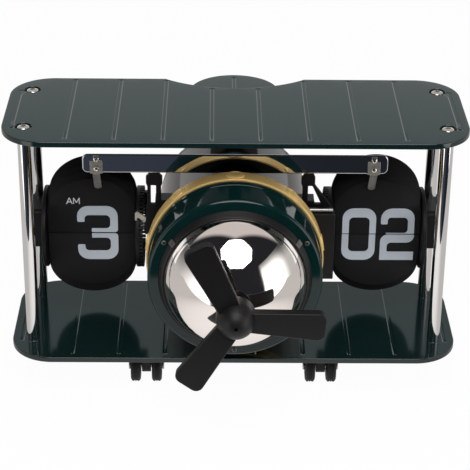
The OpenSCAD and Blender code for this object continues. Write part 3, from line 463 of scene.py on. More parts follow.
def add_piece(name, mesh, finish, nodes=(), body=None, sharp=35, weighted=True, in_metres=False):
    """A finished piece from a mesh or a shape in progress, which stands for CAD nodes or rides on a body."""
    mesh = plain_mesh(mesh, name)
    if not in_metres:
        mesh.transform(Matrix.Scale(MM, 4))
    shade(mesh, sharp)
    mesh.materials.clear()
    mesh.materials.append(finish.material)
    made = new_object(name, mesh)
    if weighted:
        flats = made.modifiers.new("flat faces stay flat", "WEIGHTED_NORMAL")
        flats.keep_sharp = True
        flats.weight = 80
        settle(made)
    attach(made, body or body_of[nodes[0]])
    if nodes:
        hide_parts(*nodes)
    return made


def settle(made):
    """Applies an object's modifiers to its mesh."""
    seen = made.evaluated_get(bpy.context.evaluated_depsgraph_get())
    final = bpy.data.meshes.new_from_object(seen)
    made.modifiers.clear()
    made.data = final


def dress(node, finish, edge):
    """A copy of a CAD node with its edges eased, which stands for the node."""
    work = bmesh.new()
    work.from_mesh(frame["nodes"][node].data)
    bmesh.ops.remove_doubles(work, verts=work.verts, dist=2e-6)
    bmesh.ops.dissolve_limit(work, angle_limit=math.radians(0.6), verts=work.verts, edges=work.edges)
    mesh = bpy.data.meshes.new(node + "_eased")
    work.to_mesh(mesh)
    work.free()
    made = new_object(mesh.name, mesh)
    ease = made.modifiers.new("eased edges", "BEVEL")
    ease.width = edge * MM
    ease.segments = 3
    ease.limit_method = "ANGLE"
    ease.angle_limit = math.radians(30)
    settle(made)
    mesh = made.data
    bpy.data.objects.remove(made)
    return add_piece(mesh.name, mesh, finish, (node,), sharp=32, in_metres=True)


# Finishes

def lacquer(name, deep, bright, gloss, shine=0.55, slot=None):
    """Sprayed lacquer: slight clouding and a fine orange peel in the gloss."""
    made = Finish(name, slot, Specular_IOR_Level=shine)
    cloud = made.noise(16, 3)
    fleck = made.noise(0.35, 2, offset=3.0)
    made.colour(made.mixed(cloud * 0.7 + fleck * 0.3, tint(deep), tint(bright)))
    made.roughness(gloss + made.noise(22, 2, offset=11.0) * 0.04)
    made.relief(made.noise(1.6, 1, offset=5.0), 0.0012)
    return made


def polished(name, tone, gloss, lines=(1, 1, 1)):
    """Polished metal: faint wipe marks and hairlines in the shine."""
    made = Finish(name, Metallic=1.0)
    wipe = made.noise(12, 4, offset=2.0)
    hairs = made.noise(0.12, 2, lines)
    bright = tint(tone)
    dull = (*(part * 0.94 for part in bright[:3]), 1.0)
    made.colour(made.mixed(wipe * 0.5, bright, dull))
    made.roughness(gloss + made.limits(wipe, 0.45, 0.8) * 0.05 + hairs * 0.015)
    made.relief(hairs, 0.0004)
    return made


def satin_metal(name, tone, aged, gloss, lines, metal=1.0, slot=None):
    """Turned or brushed metal: fine tool lines along a direction and slight darkening."""
    made = Finish(name, slot, Metallic=metal)
    tool = made.noise(0.16, 2, lines)
    age = made.noise(9, 4, offset=4.0)
    made.colour(made.mixed(age * 0.6 + tool * 0.3, tint(tone), tint(aged)))
    made.roughness(gloss + tool * 0.12 + age * 0.06)
    made.relief(tool, 0.0035)
    return made


def moulded(name, tone, worn, gloss, grain=0.28, depth=0.012, shine=0.5, slot=None):
    """Moulded plastic or rubber: fine spark-eroded grain with slight gloss changes."""
    made = Finish(name, slot, Specular_IOR_Level=shine)
    pits = made.noise(grain, 3)
    patch = made.noise(7, 3, offset=6.0)
    made.colour(made.mixed(patch * 0.6 + pits * 0.25, tint(tone), tint(worn)))
    made.roughness(gloss + patch * 0.08 + pits * 0.05)
    made.relief(pits, depth)
    return made


wing_lacquer = lacquer("wing_lacquer", (13, 31, 31), (17, 37, 37), 0.09, slot="wing_paint")
cowl_lacquer = lacquer("cowl_lacquer", (6, 32, 32), (9, 39, 38), 0.05, 0.38, "cowl_paint")
strut_chrome = polished("strut_chrome", (232, 232, 232), 0.035, (1, 1, 12))
dome_chrome = polished("dome_chrome", (244, 238, 234), 0.022)
rail_chrome = polished("rail_chrome", (225, 226, 230), 0.03, (14, 1, 1))
screw_steel = polished("screw_steel", (214, 211, 205), 0.14)
spring_steel = satin_metal("spring_steel", (218, 210, 200), (184, 176, 166), 0.2, (1, 1, 10), 0.75)
clip_steel = satin_metal("clip_steel", (112, 106, 102), (84, 80, 78), 0.3, (1, 1, 4), 0.7, "spring_steel")
shaft_steel = satin_metal("shaft_steel", (196, 194, 192), (160, 158, 156), 0.2, (1, 10, 10), 0.8)
band_brass = satin_metal("band_brass", (242, 208, 136), (224, 188, 114), 0.38, (30, 1, 30), 0.45)
bezel_grey = satin_metal("bezel_grey", (30, 29, 31), (23, 23, 24), 0.26, (30, 1, 30), 0.15)
barrel_black = lacquer("barrel_black", (7, 8, 9), (11, 12, 13), 0.06, 0.3)
bracket_black = moulded("bracket_black", (9, 9, 10), (14, 14, 15), 0.4, shine=0.3)
drum_black = moulded("drum_black", (15, 15, 16), (22, 22, 23), 0.45, shine=0.3)
card_black = moulded("card_black", (31, 31, 33), (34, 33, 36), 0.72, 0.2, 0.004, 0.18)
propeller_black = moulded("propeller_black", (13, 13, 14), (17, 17, 18), 0.4, 0.35, 0.008, 0.3)
wheel_rubber = moulded("wheel_rubber", (17, 17, 17), (25, 25, 25), 0.55, 0.4, 0.02, 0.35)
knob_black = moulded("knob_black", (18, 18, 19), (28, 28, 29), 0.4)
card_print = moulded("card_print", (203, 212, 222), (195, 204, 215), 0.5, 0.3, 0.004, 0.3, "card_black")
card_caption = moulded("card_caption", (236, 238, 241), (226, 229, 232), 0.5, 0.3, 0.003, slot="card_black")
# Inner pieces keep their solids and find these finishes by their slots
satin_metal("bush_brass", (190, 158, 96), (160, 128, 74), 0.25, (1, 1, 1))
satin_metal("motor_steel", (170, 172, 175), (130, 132, 136), 0.25, (12, 1, 1))
lacquer("cell_wrap", (150, 118, 60), (168, 134, 72), 0.2)


# Geometry recipes for what repeats

# Copies of a shape, turned evenly about Z from a first angle in degrees
around = Recipe("evenly_round_an_axis", ["count", "first_angle"])
angle = around.index() * math.tau / around.given("count") + around.given("first_angle") * math.radians(1)
around.place_copies(around.points(around.given("count")), around.vector(z=angle))

# Copies of a shape at the four corners of a rectangle
corners = Recipe("at_four_corners", ["width", "depth"])
grid = {"Size X": corners.given("width"), "Size Y": corners.given("depth"), "Vertices X": 2, "Vertices Y": 2}
corners.place_copies(corners.node("GeometryNodeMeshGrid", grid), (0.0, 0.0, 0.0))

# Cards whose hinges stand on a circle and which lean further back step by step, early or late
fan = Recipe("fan_of_cards", ["count", "first_angle", "angle_step", "hinge_radius", "lean", "late"])
angle = fan.index() * fan.given("angle_step") + fan.given("first_angle")
turned = angle * math.radians(1)
y = turned.maths("COSINE", turned) * fan.given("hinge_radius") * -1
z = turned.maths("SINE", turned) * fan.given("hinge_radius")
late = fan.given("late")
lean = fan.given("lean")
for start, stop, more in ((0, late + 52.5, late * 0.27 + 14.2), (late + 52.5, late + 67.5, 30.3),
                          (late + 67.5, 165, late * -0.27 + 80), (165, 322.5, 33), (322.5, 337.5, 16)):
    lean = lean + fan.limits(angle, start, stop, 0, more, False)
hinges = {"Geometry": fan.points(fan.given("count")), "Position": fan.vector(0.0, y, z)}
fan.place_copies(fan.node("GeometryNodeSetPosition", hinges), fan.vector(x=lean * -math.radians(1)))


# Grooved plates: the wings and the tailplane

GROOVE_HALF = 1.15
GROOVE_WALL = 0.62
GROOVE_DEEP = 0.19
GROOVE_FRONT = WING_FRONT + 4.7
GROOVE_LINES = [(i - 3.5) * 21.6 for i in range(8)]
GROOVE_SHARES = (0.3, 0.46, 0.6, 0.73, 0.86, 1.0)
TIP_GROOVE_X = 100.3
TIP_GROOVE_HALF = 21.5
PLUNGE_R = 0.7
PLUNGE_DEEP = 0.4
PLATE_EDGE = 0.4
WELL_R = 3.8
WELL_DEEP = 1.5
NOTCH_HALF = 33.0
NOTCH_R = 53.0


def groove_depth(grooves, x, y):
    """How deep a plate's top is at a point: flat channels with round ends and a plunge mark in front."""
    deepest = 0.0
    for middle, front, rear in grooves:
        away = math.hypot(x - middle, max(0.0, front - y, y - rear))
        wall = min(1.0, max(0.0, (GROOVE_HALF - away) / GROOVE_WALL))
        mark = max(0.0, 1 - math.hypot(x - middle, y - front) / PLUNGE_R)
        deepest = max(deepest, GROOVE_DEEP * wall * wall * (3 - 2 * wall) + PLUNGE_DEEP * mark)
    return deepest


def groove_points(middle, front, rear):
    """Points that follow a groove's walls, its ends and its middle."""
    count = max(2, round((rear - front) / 5))
    rows = [front + (rear - front) * i / count for i in range(count + 1)]
    points = [(middle, y) for y in rows]
    for share in GROOVE_SHARES:
        reach = share * GROOVE_HALF
        points += [(middle + side * reach, y) for y in rows for side in (-1, 1)]
        points += arc(middle, front, reach, 180, 360, 12)[1:-1]
        points += arc(middle, rear, reach, 0, 180, 12)[1:-1]
    return points


def rear_edge(x, notched):
    """Depth of a wing's rear edge, which is hollowed in the middle where it is notched."""
    if notched and abs(x) < NOTCH_HALF:
        return WING_REAR + math.sqrt(NOTCH_R ** 2 - NOTCH_HALF ** 2) - math.sqrt(NOTCH_R ** 2 - x * x)
    return WING_REAR


def wing_outline(notched):
    """The wing from above."""
    reach = WING_HALF - WING_CORNER
    low = WING_FRONT + WING_CORNER
    high = WING_REAR - WING_CORNER
    outline = arc(-reach, low, WING_CORNER, 180, 270, 24)
    outline += [(x, WING_FRONT) for x in range(-80, 81, 10)]
    outline += arc(reach, low, WING_CORNER, 270, 360, 24)
    outline += [(WING_HALF, y) for y in (-10, -1.3, 8)]
    outline += arc(reach, high, WING_CORNER, 0, 90, 24)
    outline += [(x, rear_edge(x, notched)) for x in range(81, -82, -3)]
    outline += arc(-reach, high, WING_CORNER, 90, 180, 24)
    outline += [(-WING_HALF, y) for y in (8, -1.3, -10)]
    return outline


def wing_grooves(notched):
    """The grooves of a wing: eight along the chord, and one near each tip."""
    middle = (WING_FRONT + WING_REAR) / 2
    grooves = [(x, GROOVE_FRONT, rear_edge(x, notched) - 2.6) for x in GROOVE_LINES]
    return grooves + [(side * TIP_GROOVE_X, middle - TIP_GROOVE_HALF, middle + TIP_GROOVE_HALF)
                      for side in (-1, 1)]


def fill_face(mesh, outline, wells, extra, height):
    """A face within an outline and round the wells, with extra points, at a height for each point."""
    points = []
    edges = []
    for loop in (outline, *wells):
        start = len(points)
        points += [Vector(p) for p in loop]
        edges += [(start + i, start + (i + 1) % len(loop)) for i in range(len(loop))]
    points += [Vector(p) for p in extra]
    spots, _, faces, _, _, _ = delaunay_2d_cdt(points, edges, [], 0, 1e-5)
    corners_3d = [mesh.verts.new((p.x, p.y, height(p.x, p.y))) for p in spots]
    for face in faces:
        middle = sum((spots[i] for i in face), Vector((0, 0))) / len(face)
        if inside(middle, outline) and not any(inside(middle, well) for well in wells):
            mesh.faces.new([corners_3d[i] for i in face])


def well_wall(mesh, x, y, face, way):
    """The wall and floor of a screw's well that goes from a face up or down into a plate."""
    levels = [(WELL_R + 0.15, 0.0), (WELL_R, 0.15), (WELL_R, WELL_DEEP)]
    wall = [circle(r, 48, face + way * z, x, y) for r, z in levels]
    skin(mesh, wall, first_cap=False)


def plate_piece(name, node, outline, bottom, top, grooves, upper_wells=(), lower_wells=()):
    """A plate with eased edges, grooves in its top, and screw wells in its top or underside."""
    mesh = bmesh.new()
    rings = eased_rings(outline, bottom, top, PLATE_EDGE, 4)
    skin(mesh, rings, first_cap=False, last_cap=False)
    hole = {spot: arc(*spot, WELL_R + 0.15, 0, 352.5, 47) for spot in (*upper_wells, *lower_wells)}
    extra = [point for groove in grooves for point in groove_points(*groove)]
    extra = [point for point in extra if inside(point, inset(outline, PLATE_EDGE + 0.1))]
    fill_face(mesh, [(x, y) for x, y, _ in rings[-1]], [hole[spot] for spot in upper_wells], extra,
              lambda x, y: top - groove_depth(grooves, x, y))
    fill_face(mesh, [(x, y) for x, y, _ in rings[0]], [hole[spot] for spot in lower_wells], [],
              lambda x, y: bottom)
    for spot in upper_wells:
        well_wall(mesh, *spot, top, -1)
    for spot in lower_wells:
        well_wall(mesh, *spot, bottom, 1)
    add_piece(name, mesh, wing_lacquer, (node,), sharp=40)


STRUT_SPOTS = [(x, y) for x in (-STRUT_X, STRUT_X) for y in (-STRUT_Y, STRUT_Y)]
plate_piece("upper_wing_plate", "upper_wing", wing_outline(True), UPPER_BOTTOM, UPPER_TOP,
            wing_grooves(True), upper_wells=STRUT_SPOTS)
plate_piece("lower_wing_plate", "lower_wing", wing_outline(False), LOWER_BOTTOM, LOWER_TOP,
            wing_grooves(False), lower_wells=STRUT_SPOTS)


# Struts and their screws

STRUT_R = 3.0
STRUT_END = [(0, 0), (2.55, 0), (2.85, 0.05), (STRUT_R, 0.4)]

# Two polished tubes in each row, with a small chamfer at each end
strut = [(r, LOWER_TOP + z) for r, z in STRUT_END]
strut += [(r, UPPER_BOTTOM - z) for r, z in reversed(STRUT_END)]
for row, y in (("front", -STRUT_Y), ("rear", STRUT_Y)):
    mesh = bmesh.new()
    for x in (-STRUT_X, STRUT_X):
        turn(mesh, strut, move(x, y, 0), 64)
    add_piece(row + "_strut_tubes", mesh, strut_chrome, (row + "_struts",))


def strut_fasteners(name, node, shape):
    """The shape at all eight strut ends: pointing up on the upper wing, down under the lower wing."""
    upper = corners.run(name, shape, screw_steel, width=2 * STRUT_X, depth=2 * STRUT_Y)
    lower = upper.copy()
    upper.transform(move(0, 0, UPPER_TOP - WELL_DEEP))
    lower.transform(move(0, 0, LOWER_BOTTOM + WELL_DEEP) @ spin(180, "X"))
    work = bmesh.new()
    work.from_mesh(upper)
    work.from_mesh(lower)
    add_piece(name, work, screw_steel, (node,))


shape = bmesh.new()
turn(shape, [(1.7, 0.0), (3.5, 0.0), (3.6, 0.1), (3.6, 0.3), (3.5, 0.4), (1.7, 0.4)], Matrix(), 48)
strut_fasteners("strut_screw_washers", "strut_washers", shape)
shape = screw_head(2.8, 1.4, "hexagon", 2.3, move(0, 0, 0.42))
strut_fasteners("strut_socket_screws", "strut_screws", shape)


# Fuselage, turned about its axis

def turned_piece(name, nodes, finish, profile, segments=192):
    """A profile of (radius, along), turned about the fuselage's axis."""
    mesh = bmesh.new()
    turn(mesh, profile, FUSELAGE, segments)
    add_piece(name, mesh, finish, nodes, "airframe")


BARREL_BORE = 34.0
BARREL_FRONT = -43.0
BARREL_BACK = 37.0
COWL_R = 39.7
COWL_BORE = 34.8
COWL_LIP = 1.6
COWL_FACE = -46.0
COWL_STEP = 0.5
COWL_STEP_Y = -29.9
RING_BORE = 36.05
BAND_FRONT = -26.6
BAND_BACK = -18.0
BRASS_BACK = -18.4
BAND_R = 41.0
DOME_R = 32.3
DOME_T = 0.8
DOME_BASE = -49.0
DOME_SKIRT = 5.0
DOME_RISE = 23.5
DOME_BALL = (DOME_R ** 2 + DOME_RISE ** 2) / (2 * DOME_RISE)
DOME_MIDDLE = DOME_BASE - DOME_RISE + DOME_BALL
BUSH_R = 3.02
BEZEL_R = 34.75
BEZEL_BORE = DOME_R + 0.02
BEZEL_BACK = -43.05

turned_piece("barrel_tube", ("fuselage_barrel",), barrel_black, fillet([
    (BARREL_BORE, BARREL_FRONT, 0.3), (BARREL_R, BARREL_FRONT, 0.3), (BARREL_R, BARREL_BACK, 0.5),
    (BARREL_BORE, BARREL_BACK, 0.3)]))
cowl = [(COWL_BORE, COWL_FACE)] + arc(COWL_R - COWL_LIP, COWL_FACE + COWL_LIP, COWL_LIP, -90, 0, 12)
cowl += [(COWL_R + out, COWL_STEP_Y + along) for out, along in (
    (0, -0.6), (0, -0.12), (0.12, -0.02), (0.38, 0), (COWL_STEP, 0.15))]
cowl += [(COWL_R + COWL_STEP, BAND_FRONT - 0.3), (COWL_R + 0.3, BAND_FRONT - 0.04),
         (RING_BORE, BAND_FRONT - 0.04), (RING_BORE, BARREL_FRONT), (COWL_BORE, BARREL_FRONT)]
turned_piece("cowl_shell", ("engine_cowl",), cowl_lacquer, cowl)
turned_piece("brass_ring", ("brass_band",), band_brass, fillet([
    (RING_BORE, BAND_FRONT, 0.1), (BAND_R, BAND_FRONT, 0.5), (BAND_R, BRASS_BACK, 0.5),
    (RING_BORE, BRASS_BACK, 0.1)]))
turned_piece("band_backing", (), barrel_black, fillet([
    (RING_BORE, BRASS_BACK, 0), (BAND_R - 0.5, BRASS_BACK, 0), (BAND_R - 0.7, BAND_BACK, 0.2),
    (RING_BORE, BAND_BACK, 0.1)]))
turned_piece("bezel_hoop", ("bezel_ring",), bezel_grey, fillet([
    (BEZEL_BORE, BEZEL_BACK, 0), (BEZEL_BORE, DOME_BASE - 0.25, 0.2), (DOME_R + 0.7, DOME_BASE - 0.4, 0.3),
    (BEZEL_R, COWL_FACE, 0.5), (BEZEL_R, BEZEL_BACK, 0)]))


def ball_profile(inward, steps):
    """The nose's round front from its rim to the bush's hole, drawn in by a distance."""
    ball = DOME_BALL - inward
    rim = math.asin((DOME_R - inward) / ball)
    hole = math.asin(BUSH_R / ball)
    angles = [rim + (hole - rim) * i / steps for i in range(steps + 1)]
    return [(ball * math.sin(a), DOME_MIDDLE - ball * math.cos(a)) for a in angles]


dome = [(DOME_R - DOME_T, DOME_BASE + DOME_SKIRT), (DOME_R, DOME_BASE + DOME_SKIRT)]
dome += ball_profile(0, 72) + ball_profile(DOME_T, 24)[::-1]
turned_piece("nose_dome_shell", ("nose_dome",), dome_chrome, dome, 256)

# Oval bosses on the brass band
BOSS_COUNT = 9
BOSS_STRETCH = 1.12
shape = bmesh.new()
turn(shape, [(0, 40.0), (3.7, 40.0), (3.7, 41.1), (3.6, 41.32), (3.4, 41.42), (3.2, 41.36), (3.05, 41.16),
             (2.9, 41.12), (2.75, 41.2), (2.55, 41.4), (2.3, 41.46), (0, 41.46)],
     spin(90, "Y"), 48)
bmesh.ops.scale(shape, vec=(1.0, BOSS_STRETCH, 1.0), verts=shape.verts)
bosses = around.run("band_bosses", shape, band_brass, count=BOSS_COUNT, first_angle=-90.0)
bosses.transform(FUSELAGE @ move(0, 0, (BAND_FRONT + BAND_BACK) / 2))
add_piece("band_bosses", bosses, band_brass, body="airframe")

# Clips and screws that hold the bezel, at the bottom and at two upper places
CLIP_R = 34.0
CLIP_Y = -47.4
CLIP_SLOPE = 52
BEZEL_SCREW_R = 36.96
BEZEL_SCREW_Y = -45.4
mesh = bmesh.new()
clip = box(-1.9, -1.4, 1.5, 1.4, 0.3)
tab = box(-0.9, -0.7, 0.7, 0.7, 0.2)
lower_clip = bmesh.new()
for angle, work in ((-56, mesh), (56, mesh), (180, lower_clip)):
    place = FUSELAGE @ spin(angle - 90, "Z") @ move(CLIP_R, 0, CLIP_Y) @ spin(-CLIP_SLOPE, "Y")
    slab(work, clip, -0.6, -0.1, 0.12, place)
    slab(work, tab, -0.9, -0.5, 0.12, place)
add_piece("bezel_clip_plates", mesh, clip_steel, ("bezel_clips",))
add_piece("lower_bezel_clip", lower_clip, bezel_grey, body="airframe")
shape = screw_head(1.25, 0.9, "cross", 1.5, move(BEZEL_SCREW_R, 0, BEZEL_SCREW_Y) @ spin(180, "X"))
screws = around.run("bezel_screws", shape, clip_steel, count=3, first_angle=90.0)
screws.transform(FUSELAGE)
add_piece("bezel_cross_screws", screws, clip_steel, ("bezel_screws",))


# Propeller

HUB_R = 8.65
HUB_REAR = -76.5
HUB_TIP = -91.5
HUB_NOSE = 9.5
BLADE_Y = -82.65
BLADE_HALF = 2.15
BLADE_ANGLES = (-4, 116, 236)
BLADE_PITCH = 4.5
BLADE_START = 5.2
BLADE_REACH = 39.2
BLADE_ROOT = 5.05
BLADE_TIP = 7.15
BLADE_CORNER = 3.6

mesh = bmesh.new()
hub = [(0, HUB_REAR), (HUB_R - 0.4, HUB_REAR), (HUB_R, HUB_REAR - 0.4)]
hub += [(HUB_R * math.cos(math.radians(a)), HUB_TIP + HUB_NOSE * (1 - math.sin(math.radians(a))))
        for a in (*range(0, 73, 6), 77, 81, 83.4)]
hub += [(0.86, HUB_TIP + 0.2), (0.8, HUB_TIP + 0.6), (0.75, HUB_TIP + 1.2), (0, HUB_TIP + 1.2)]
turn(mesh, hub, FUSELAGE, 96)
blade = fillet([(BLADE_START, -BLADE_ROOT, 0), (BLADE_REACH, -BLADE_TIP, BLADE_CORNER),
                (BLADE_REACH, BLADE_TIP, BLADE_CORNER), (BLADE_START, BLADE_ROOT, 0)], 8)
for angle in BLADE_ANGLES:
    place = move(0, BLADE_Y, AXIS_H) @ spin(-angle, "Y") @ spin(90 + BLADE_PITCH, "X")
    slab(mesh, blade, -BLADE_HALF, BLADE_HALF, 0.6, place, 5)
add_piece("propeller_blades", mesh, propeller_black, ("propeller",))


# Card rail, its brackets and leaf springs

RAIL_HALF = 70.2
RAIL_T = 1.5
RAIL_CORNER = 2.4
LEAF_T = 0.4
LEAF_W = 3.4
LEAF_CLIP_HALF = 2.9
LEAF_NECK_HALF = 1.3
LEAF_TIP = 23.2
LEAF_STEPS = (0.04, 0.1, 0.5, 0.82, 0.86, 0.9, 0.93, 0.96, 0.98, 1.0)
LEAF_SCREW_GAP = 4.7

mesh = bmesh.new()
rail = box(-RAIL_HALF, RAIL_BOTTOM, RAIL_HALF, RAIL_TOP, RAIL_CORNER, 8)
slab(mesh, rail, -(RAIL_FACE + RAIL_T), -RAIL_FACE, 0.6, FACING_FRONT, 6)
add_piece("mirror_rail", mesh, rail_chrome, ("card_rail",))
for node in ("rail_bracket_left", "rail_bracket_right"):
    dress(node, bracket_black, 0.35)


def leaf_spring(unit, x):
    """A clip on the rail's face and a finger that bears on the front card."""
    mesh = bmesh.new()
    face = -RAIL_FACE + 0.02
    neck = RAIL_BOTTOM + 6.2
    right = [(LEAF_CLIP_HALF, RAIL_BOTTOM - 0.2, 0.4), (LEAF_CLIP_HALF, neck, 0.4),
             (LEAF_NECK_HALF, neck, 0.2), (LEAF_NECK_HALF, RAIL_TOP - 0.2, 0.6)]
    left = [(-across, z, radius) for across, z, radius in reversed(right)]
    clip = fillet([(x + across, z, radius) for across, z, radius in right + left])
    slab(mesh, clip, face, face + LEAF_T, 0.1, FACING_FRONT)
    start = (-face - LEAF_T / 2, RAIL_BOTTOM + 0.6)
    bend = (-face - LEAF_T / 2, RAIL_BOTTOM - 0.6)
    tip_y = FLAP_Y + LEAF_TIP * math.tan(math.radians(FLAP_LEAN)) - CARD_T / 2 - 0.45
    tip = (tip_y - LEAF_T / 2, FLAP_H + LEAF_TIP)
    path = [start, bend]
    path += [(bend[0] + (tip[0] - bend[0]) * t, bend[1] + (tip[1] - bend[1]) * t) for t in LEAF_STEPS]
    strip(mesh, path, LEAF_W, LEAF_T, x, 2.0)
    add_piece(unit + "_leaf_finger", mesh, spring_steel, (unit + "_leaf_spring",))


for unit, side in UNITS:
    leaf_spring(unit, side * LEAF_X)
shape = screw_head(1.3, 0.85, "cross", 1.6)
leaf_screws = corners.run("rail_screws", shape, screw_steel, width=2 * LEAF_X, depth=LEAF_SCREW_GAP)
leaf_screws.transform(move(0, RAIL_FACE - LEAF_T - 0.02, RAIL_MID) @ FACING_FRONT)
add_piece("rail_cross_screws", leaf_screws, screw_steel, ("rail_screws",))


# Flip cards and drums

def card_shape(thick, place=Matrix()):
    """One card with a half-oval end, which stands on its hinge line at a place."""
    mesh = bmesh.new()
    outline = [(-CARD_W / 2, 0), (CARD_W / 2, 0)]
    outline += [(CARD_W / 2 * x, CARD_LEN - CARD_END + CARD_END * y) for x, y in arc(0, 0, 1, 0, 180, 36)]
    slab(mesh, outline, -thick / 2, thick / 2, thick * 0.3, place @ FACING_FRONT, 1)
    return plain_mesh(mesh, "card")


def card_place(x, y, z, lean):
    """Where a card stands: its hinge line and its lean back in degrees."""
    return move(x, y, z) @ spin(-lean, "X")


# How many degrees later each side's fan leans back: the hour unit is on side -1
LATE_LEAN = {-1: 6.0, 1: 17.0}
LOW_CARD_Y = FLAP_Y + 0.7


def card_stack(stack, side, thick, first_angle, step, count):
    """The cards between two places round the drum."""
    name = stack + "_leaves"
    made = fan.run(name, card_shape(thick), card_black, count=count, first_angle=first_angle,
                   angle_step=step, hinge_radius=HINGE_R, lean=FLAP_LEAN, late=LATE_LEAN[side])
    made.transform(move(side * UNIT_X, DRUM_Y, AXIS_H))
    if "lower" in stack:
        work = bmesh.new()
        work.from_mesh(made)
        work.from_mesh(card_shape(CARD_T, card_place(side * UNIT_X, LOW_CARD_Y, FLAP_H - 0.3, 180)))
        made = work
    add_piece(name, made, card_black, (stack + "_cards",), sharp=60, weighted=False)


card_stack("hour_upper", -1, 0.3, 22.5, 15.0, 10)
card_stack("hour_lower", -1, 0.3, 172.5, 15.0, 12)
card_stack("minute_upper", 1, 0.22, 18.0, 6.0, 24)
card_stack("minute_lower", 1, 0.22, 165.0, 6.0, 29)
for unit, side in UNITS:
    flap = card_shape(CARD_T, card_place(side * UNIT_X, FLAP_Y, FLAP_H, FLAP_LEAN))
    add_piece(unit + "_front_flap", flap, card_black, (unit + "_flap",), sharp=60, weighted=False)


# Numbers: filled outlines in the plane of a card, in X from its middle and Z above the table

PRINT_T = 0.05
THREE_TOP = [fillet([
    (-6.8, 72.9, 0.8), (-3.3, 72.9, 0.5), (-3.3, 76.4, 1.9), (8.8, 76.4, 2.2), (8.8, 69.7, 2.0),
    (0.0, 69.7, 0.3), (0.0, 67.7, 0.2), (12.4, 67.7, 1.4), (12.4, 81.1, 5.2), (-6.8, 81.1, 5.2)])]
THREE_LOW = [fillet([
    (0.0, 66.8, 0.2), (0.0, 64.4, 0.3), (8.8, 64.4, 2.0), (8.8, 57.6, 2.2), (-3.3, 57.6, 1.9),
    (-3.3, 60.8, 0.5), (-6.8, 60.8, 0.8), (-6.8, 52.9, 5.2), (12.4, 52.9, 5.2), (12.4, 66.8, 1.6)])]
ZERO_TOP = [fillet([
    (-16.3, 67.6, 0), (-13.15, 67.6, 0), (-13.15, 75.9, 2.2), (-3.45, 75.9, 2.2), (-3.45, 67.6, 0),
    (-0.4, 67.6, 0), (-0.4, 80.6, 5.2), (-16.3, 80.6, 5.2)])]
ZERO_LOW = [fillet([
    (-16.3, 66.9, 0), (-16.3, 53.2, 5.2), (-0.4, 53.2, 5.2), (-0.4, 66.9, 0), (-3.45, 66.9, 0),
    (-3.45, 57.8, 2.2), (-13.15, 57.8, 2.2), (-13.15, 66.9, 0)])]
TWO_TOP = [fillet([
    (1.9, 72.4, 0.7), (5.1, 72.4, 0.5), (5.1, 75.9, 1.7), (14.7, 75.9, 2.0), (14.7, 68.0, 1.8),
    (4.6, 68.0, 0.1), (4.2, 67.6, 0.1), (17.8, 67.6, 0.5), (17.8, 80.6, 5.2), (1.9, 80.6, 5.2)])]
TWO_LOW = [fillet([
    (2.0, 53.2, 0.3), (18.1, 53.2, 0.3), (18.1, 57.7, 0.3), (5.3, 57.7, 0.5), (5.3, 62.5, 1.9),
    (18.0, 62.5, 3.6), (18.0, 66.9, 0.4), (2.0, 66.9, 3.8)])]


def letter_strokes(strokes, width):
    """Straight strokes of a width, as outlines."""
    outlines = []
    for (x1, y1), (x2, y2) in strokes:
        along = Vector((x2 - x1, y2 - y1)).normalized() * width / 2
        across = Vector((-along.y, along.x))
        outlines.append([(x1 - across.x, y1 - across.y), (x2 - across.x, y2 - across.y),
                         (x2 + across.x, y2 + across.y), (x1 + across.x, y1 + across.y)])
    return outlines


MORNING = letter_strokes([
    ((-11.5, 82.1), (-10.2, 85.2)), ((-10.2, 85.2), (-8.85, 82.1)), ((-10.95, 83.1), (-9.4, 83.1)),
    ((-8.2, 82.1), (-8.2, 85.2)), ((-8.2, 85.2), (-6.85, 82.8)), ((-6.85, 82.8), (-5.5, 85.2)),
    ((-5.5, 85.2), (-5.5, 82.1))], 0.46)


def print_on(name, finish, outlines, x, body, lean, hinge_y):
    """Raised print on a card's front face; its heights are measured on the upright card."""
    mesh = bmesh.new()
    face = CARD_T / 2
    place = card_place(x, hinge_y, FLAP_H, lean) @ FACING_FRONT
    for outline in outlines:
        rings = [[(px, pz - FLAP_H, z) for px, pz in outline] for z in (face - 0.02, face + PRINT_T)]
        skin(mesh, rings, place)
    add_piece(name, mesh, finish, body=body, sharp=20, weighted=False)


for unit, side, upper, lower in (("hour", -1, THREE_TOP, THREE_LOW),
                                 ("minute", 1, ZERO_TOP + TWO_TOP, ZERO_LOW + TWO_LOW)):
    x = side * UNIT_X
    print_on(unit + "_number_top", card_print, upper, x, unit + "_card", FLAP_LEAN, FLAP_Y)
    print_on(unit + "_number_low", card_print, lower, x, "airframe", 0, LOW_CARD_Y)
print_on("morning_mark", card_caption, MORNING, -UNIT_X, "hour_card", FLAP_LEAN, FLAP_Y)


SHAFT_R = 2.1
DISC_R = 19.5
DISC_T = 1.9
INNER_DISC_X = 44.5
OUTER_DISC_X = 88.4
CORE_R = 5.0
TOOTH_COUNT = 60
TOOTH_TIP_X = 42.9


def disc_profile(start, rim, dish, hub, boss, edge):
    """A drum's rimmed disc: its face is dished, and its hub stands out by a boss."""
    face = start + DISC_T
    return fillet([
        (SHAFT_R, start, 0.2), (DISC_R, start, 0.4), (DISC_R, face, 0.4), (rim, face, 0.2),
        (rim - 0.4, face - dish, 0.2), (hub + 0.4, face - dish, 0.2), (hub, face + boss, edge),
        (SHAFT_R, face + boss, 0.2)])


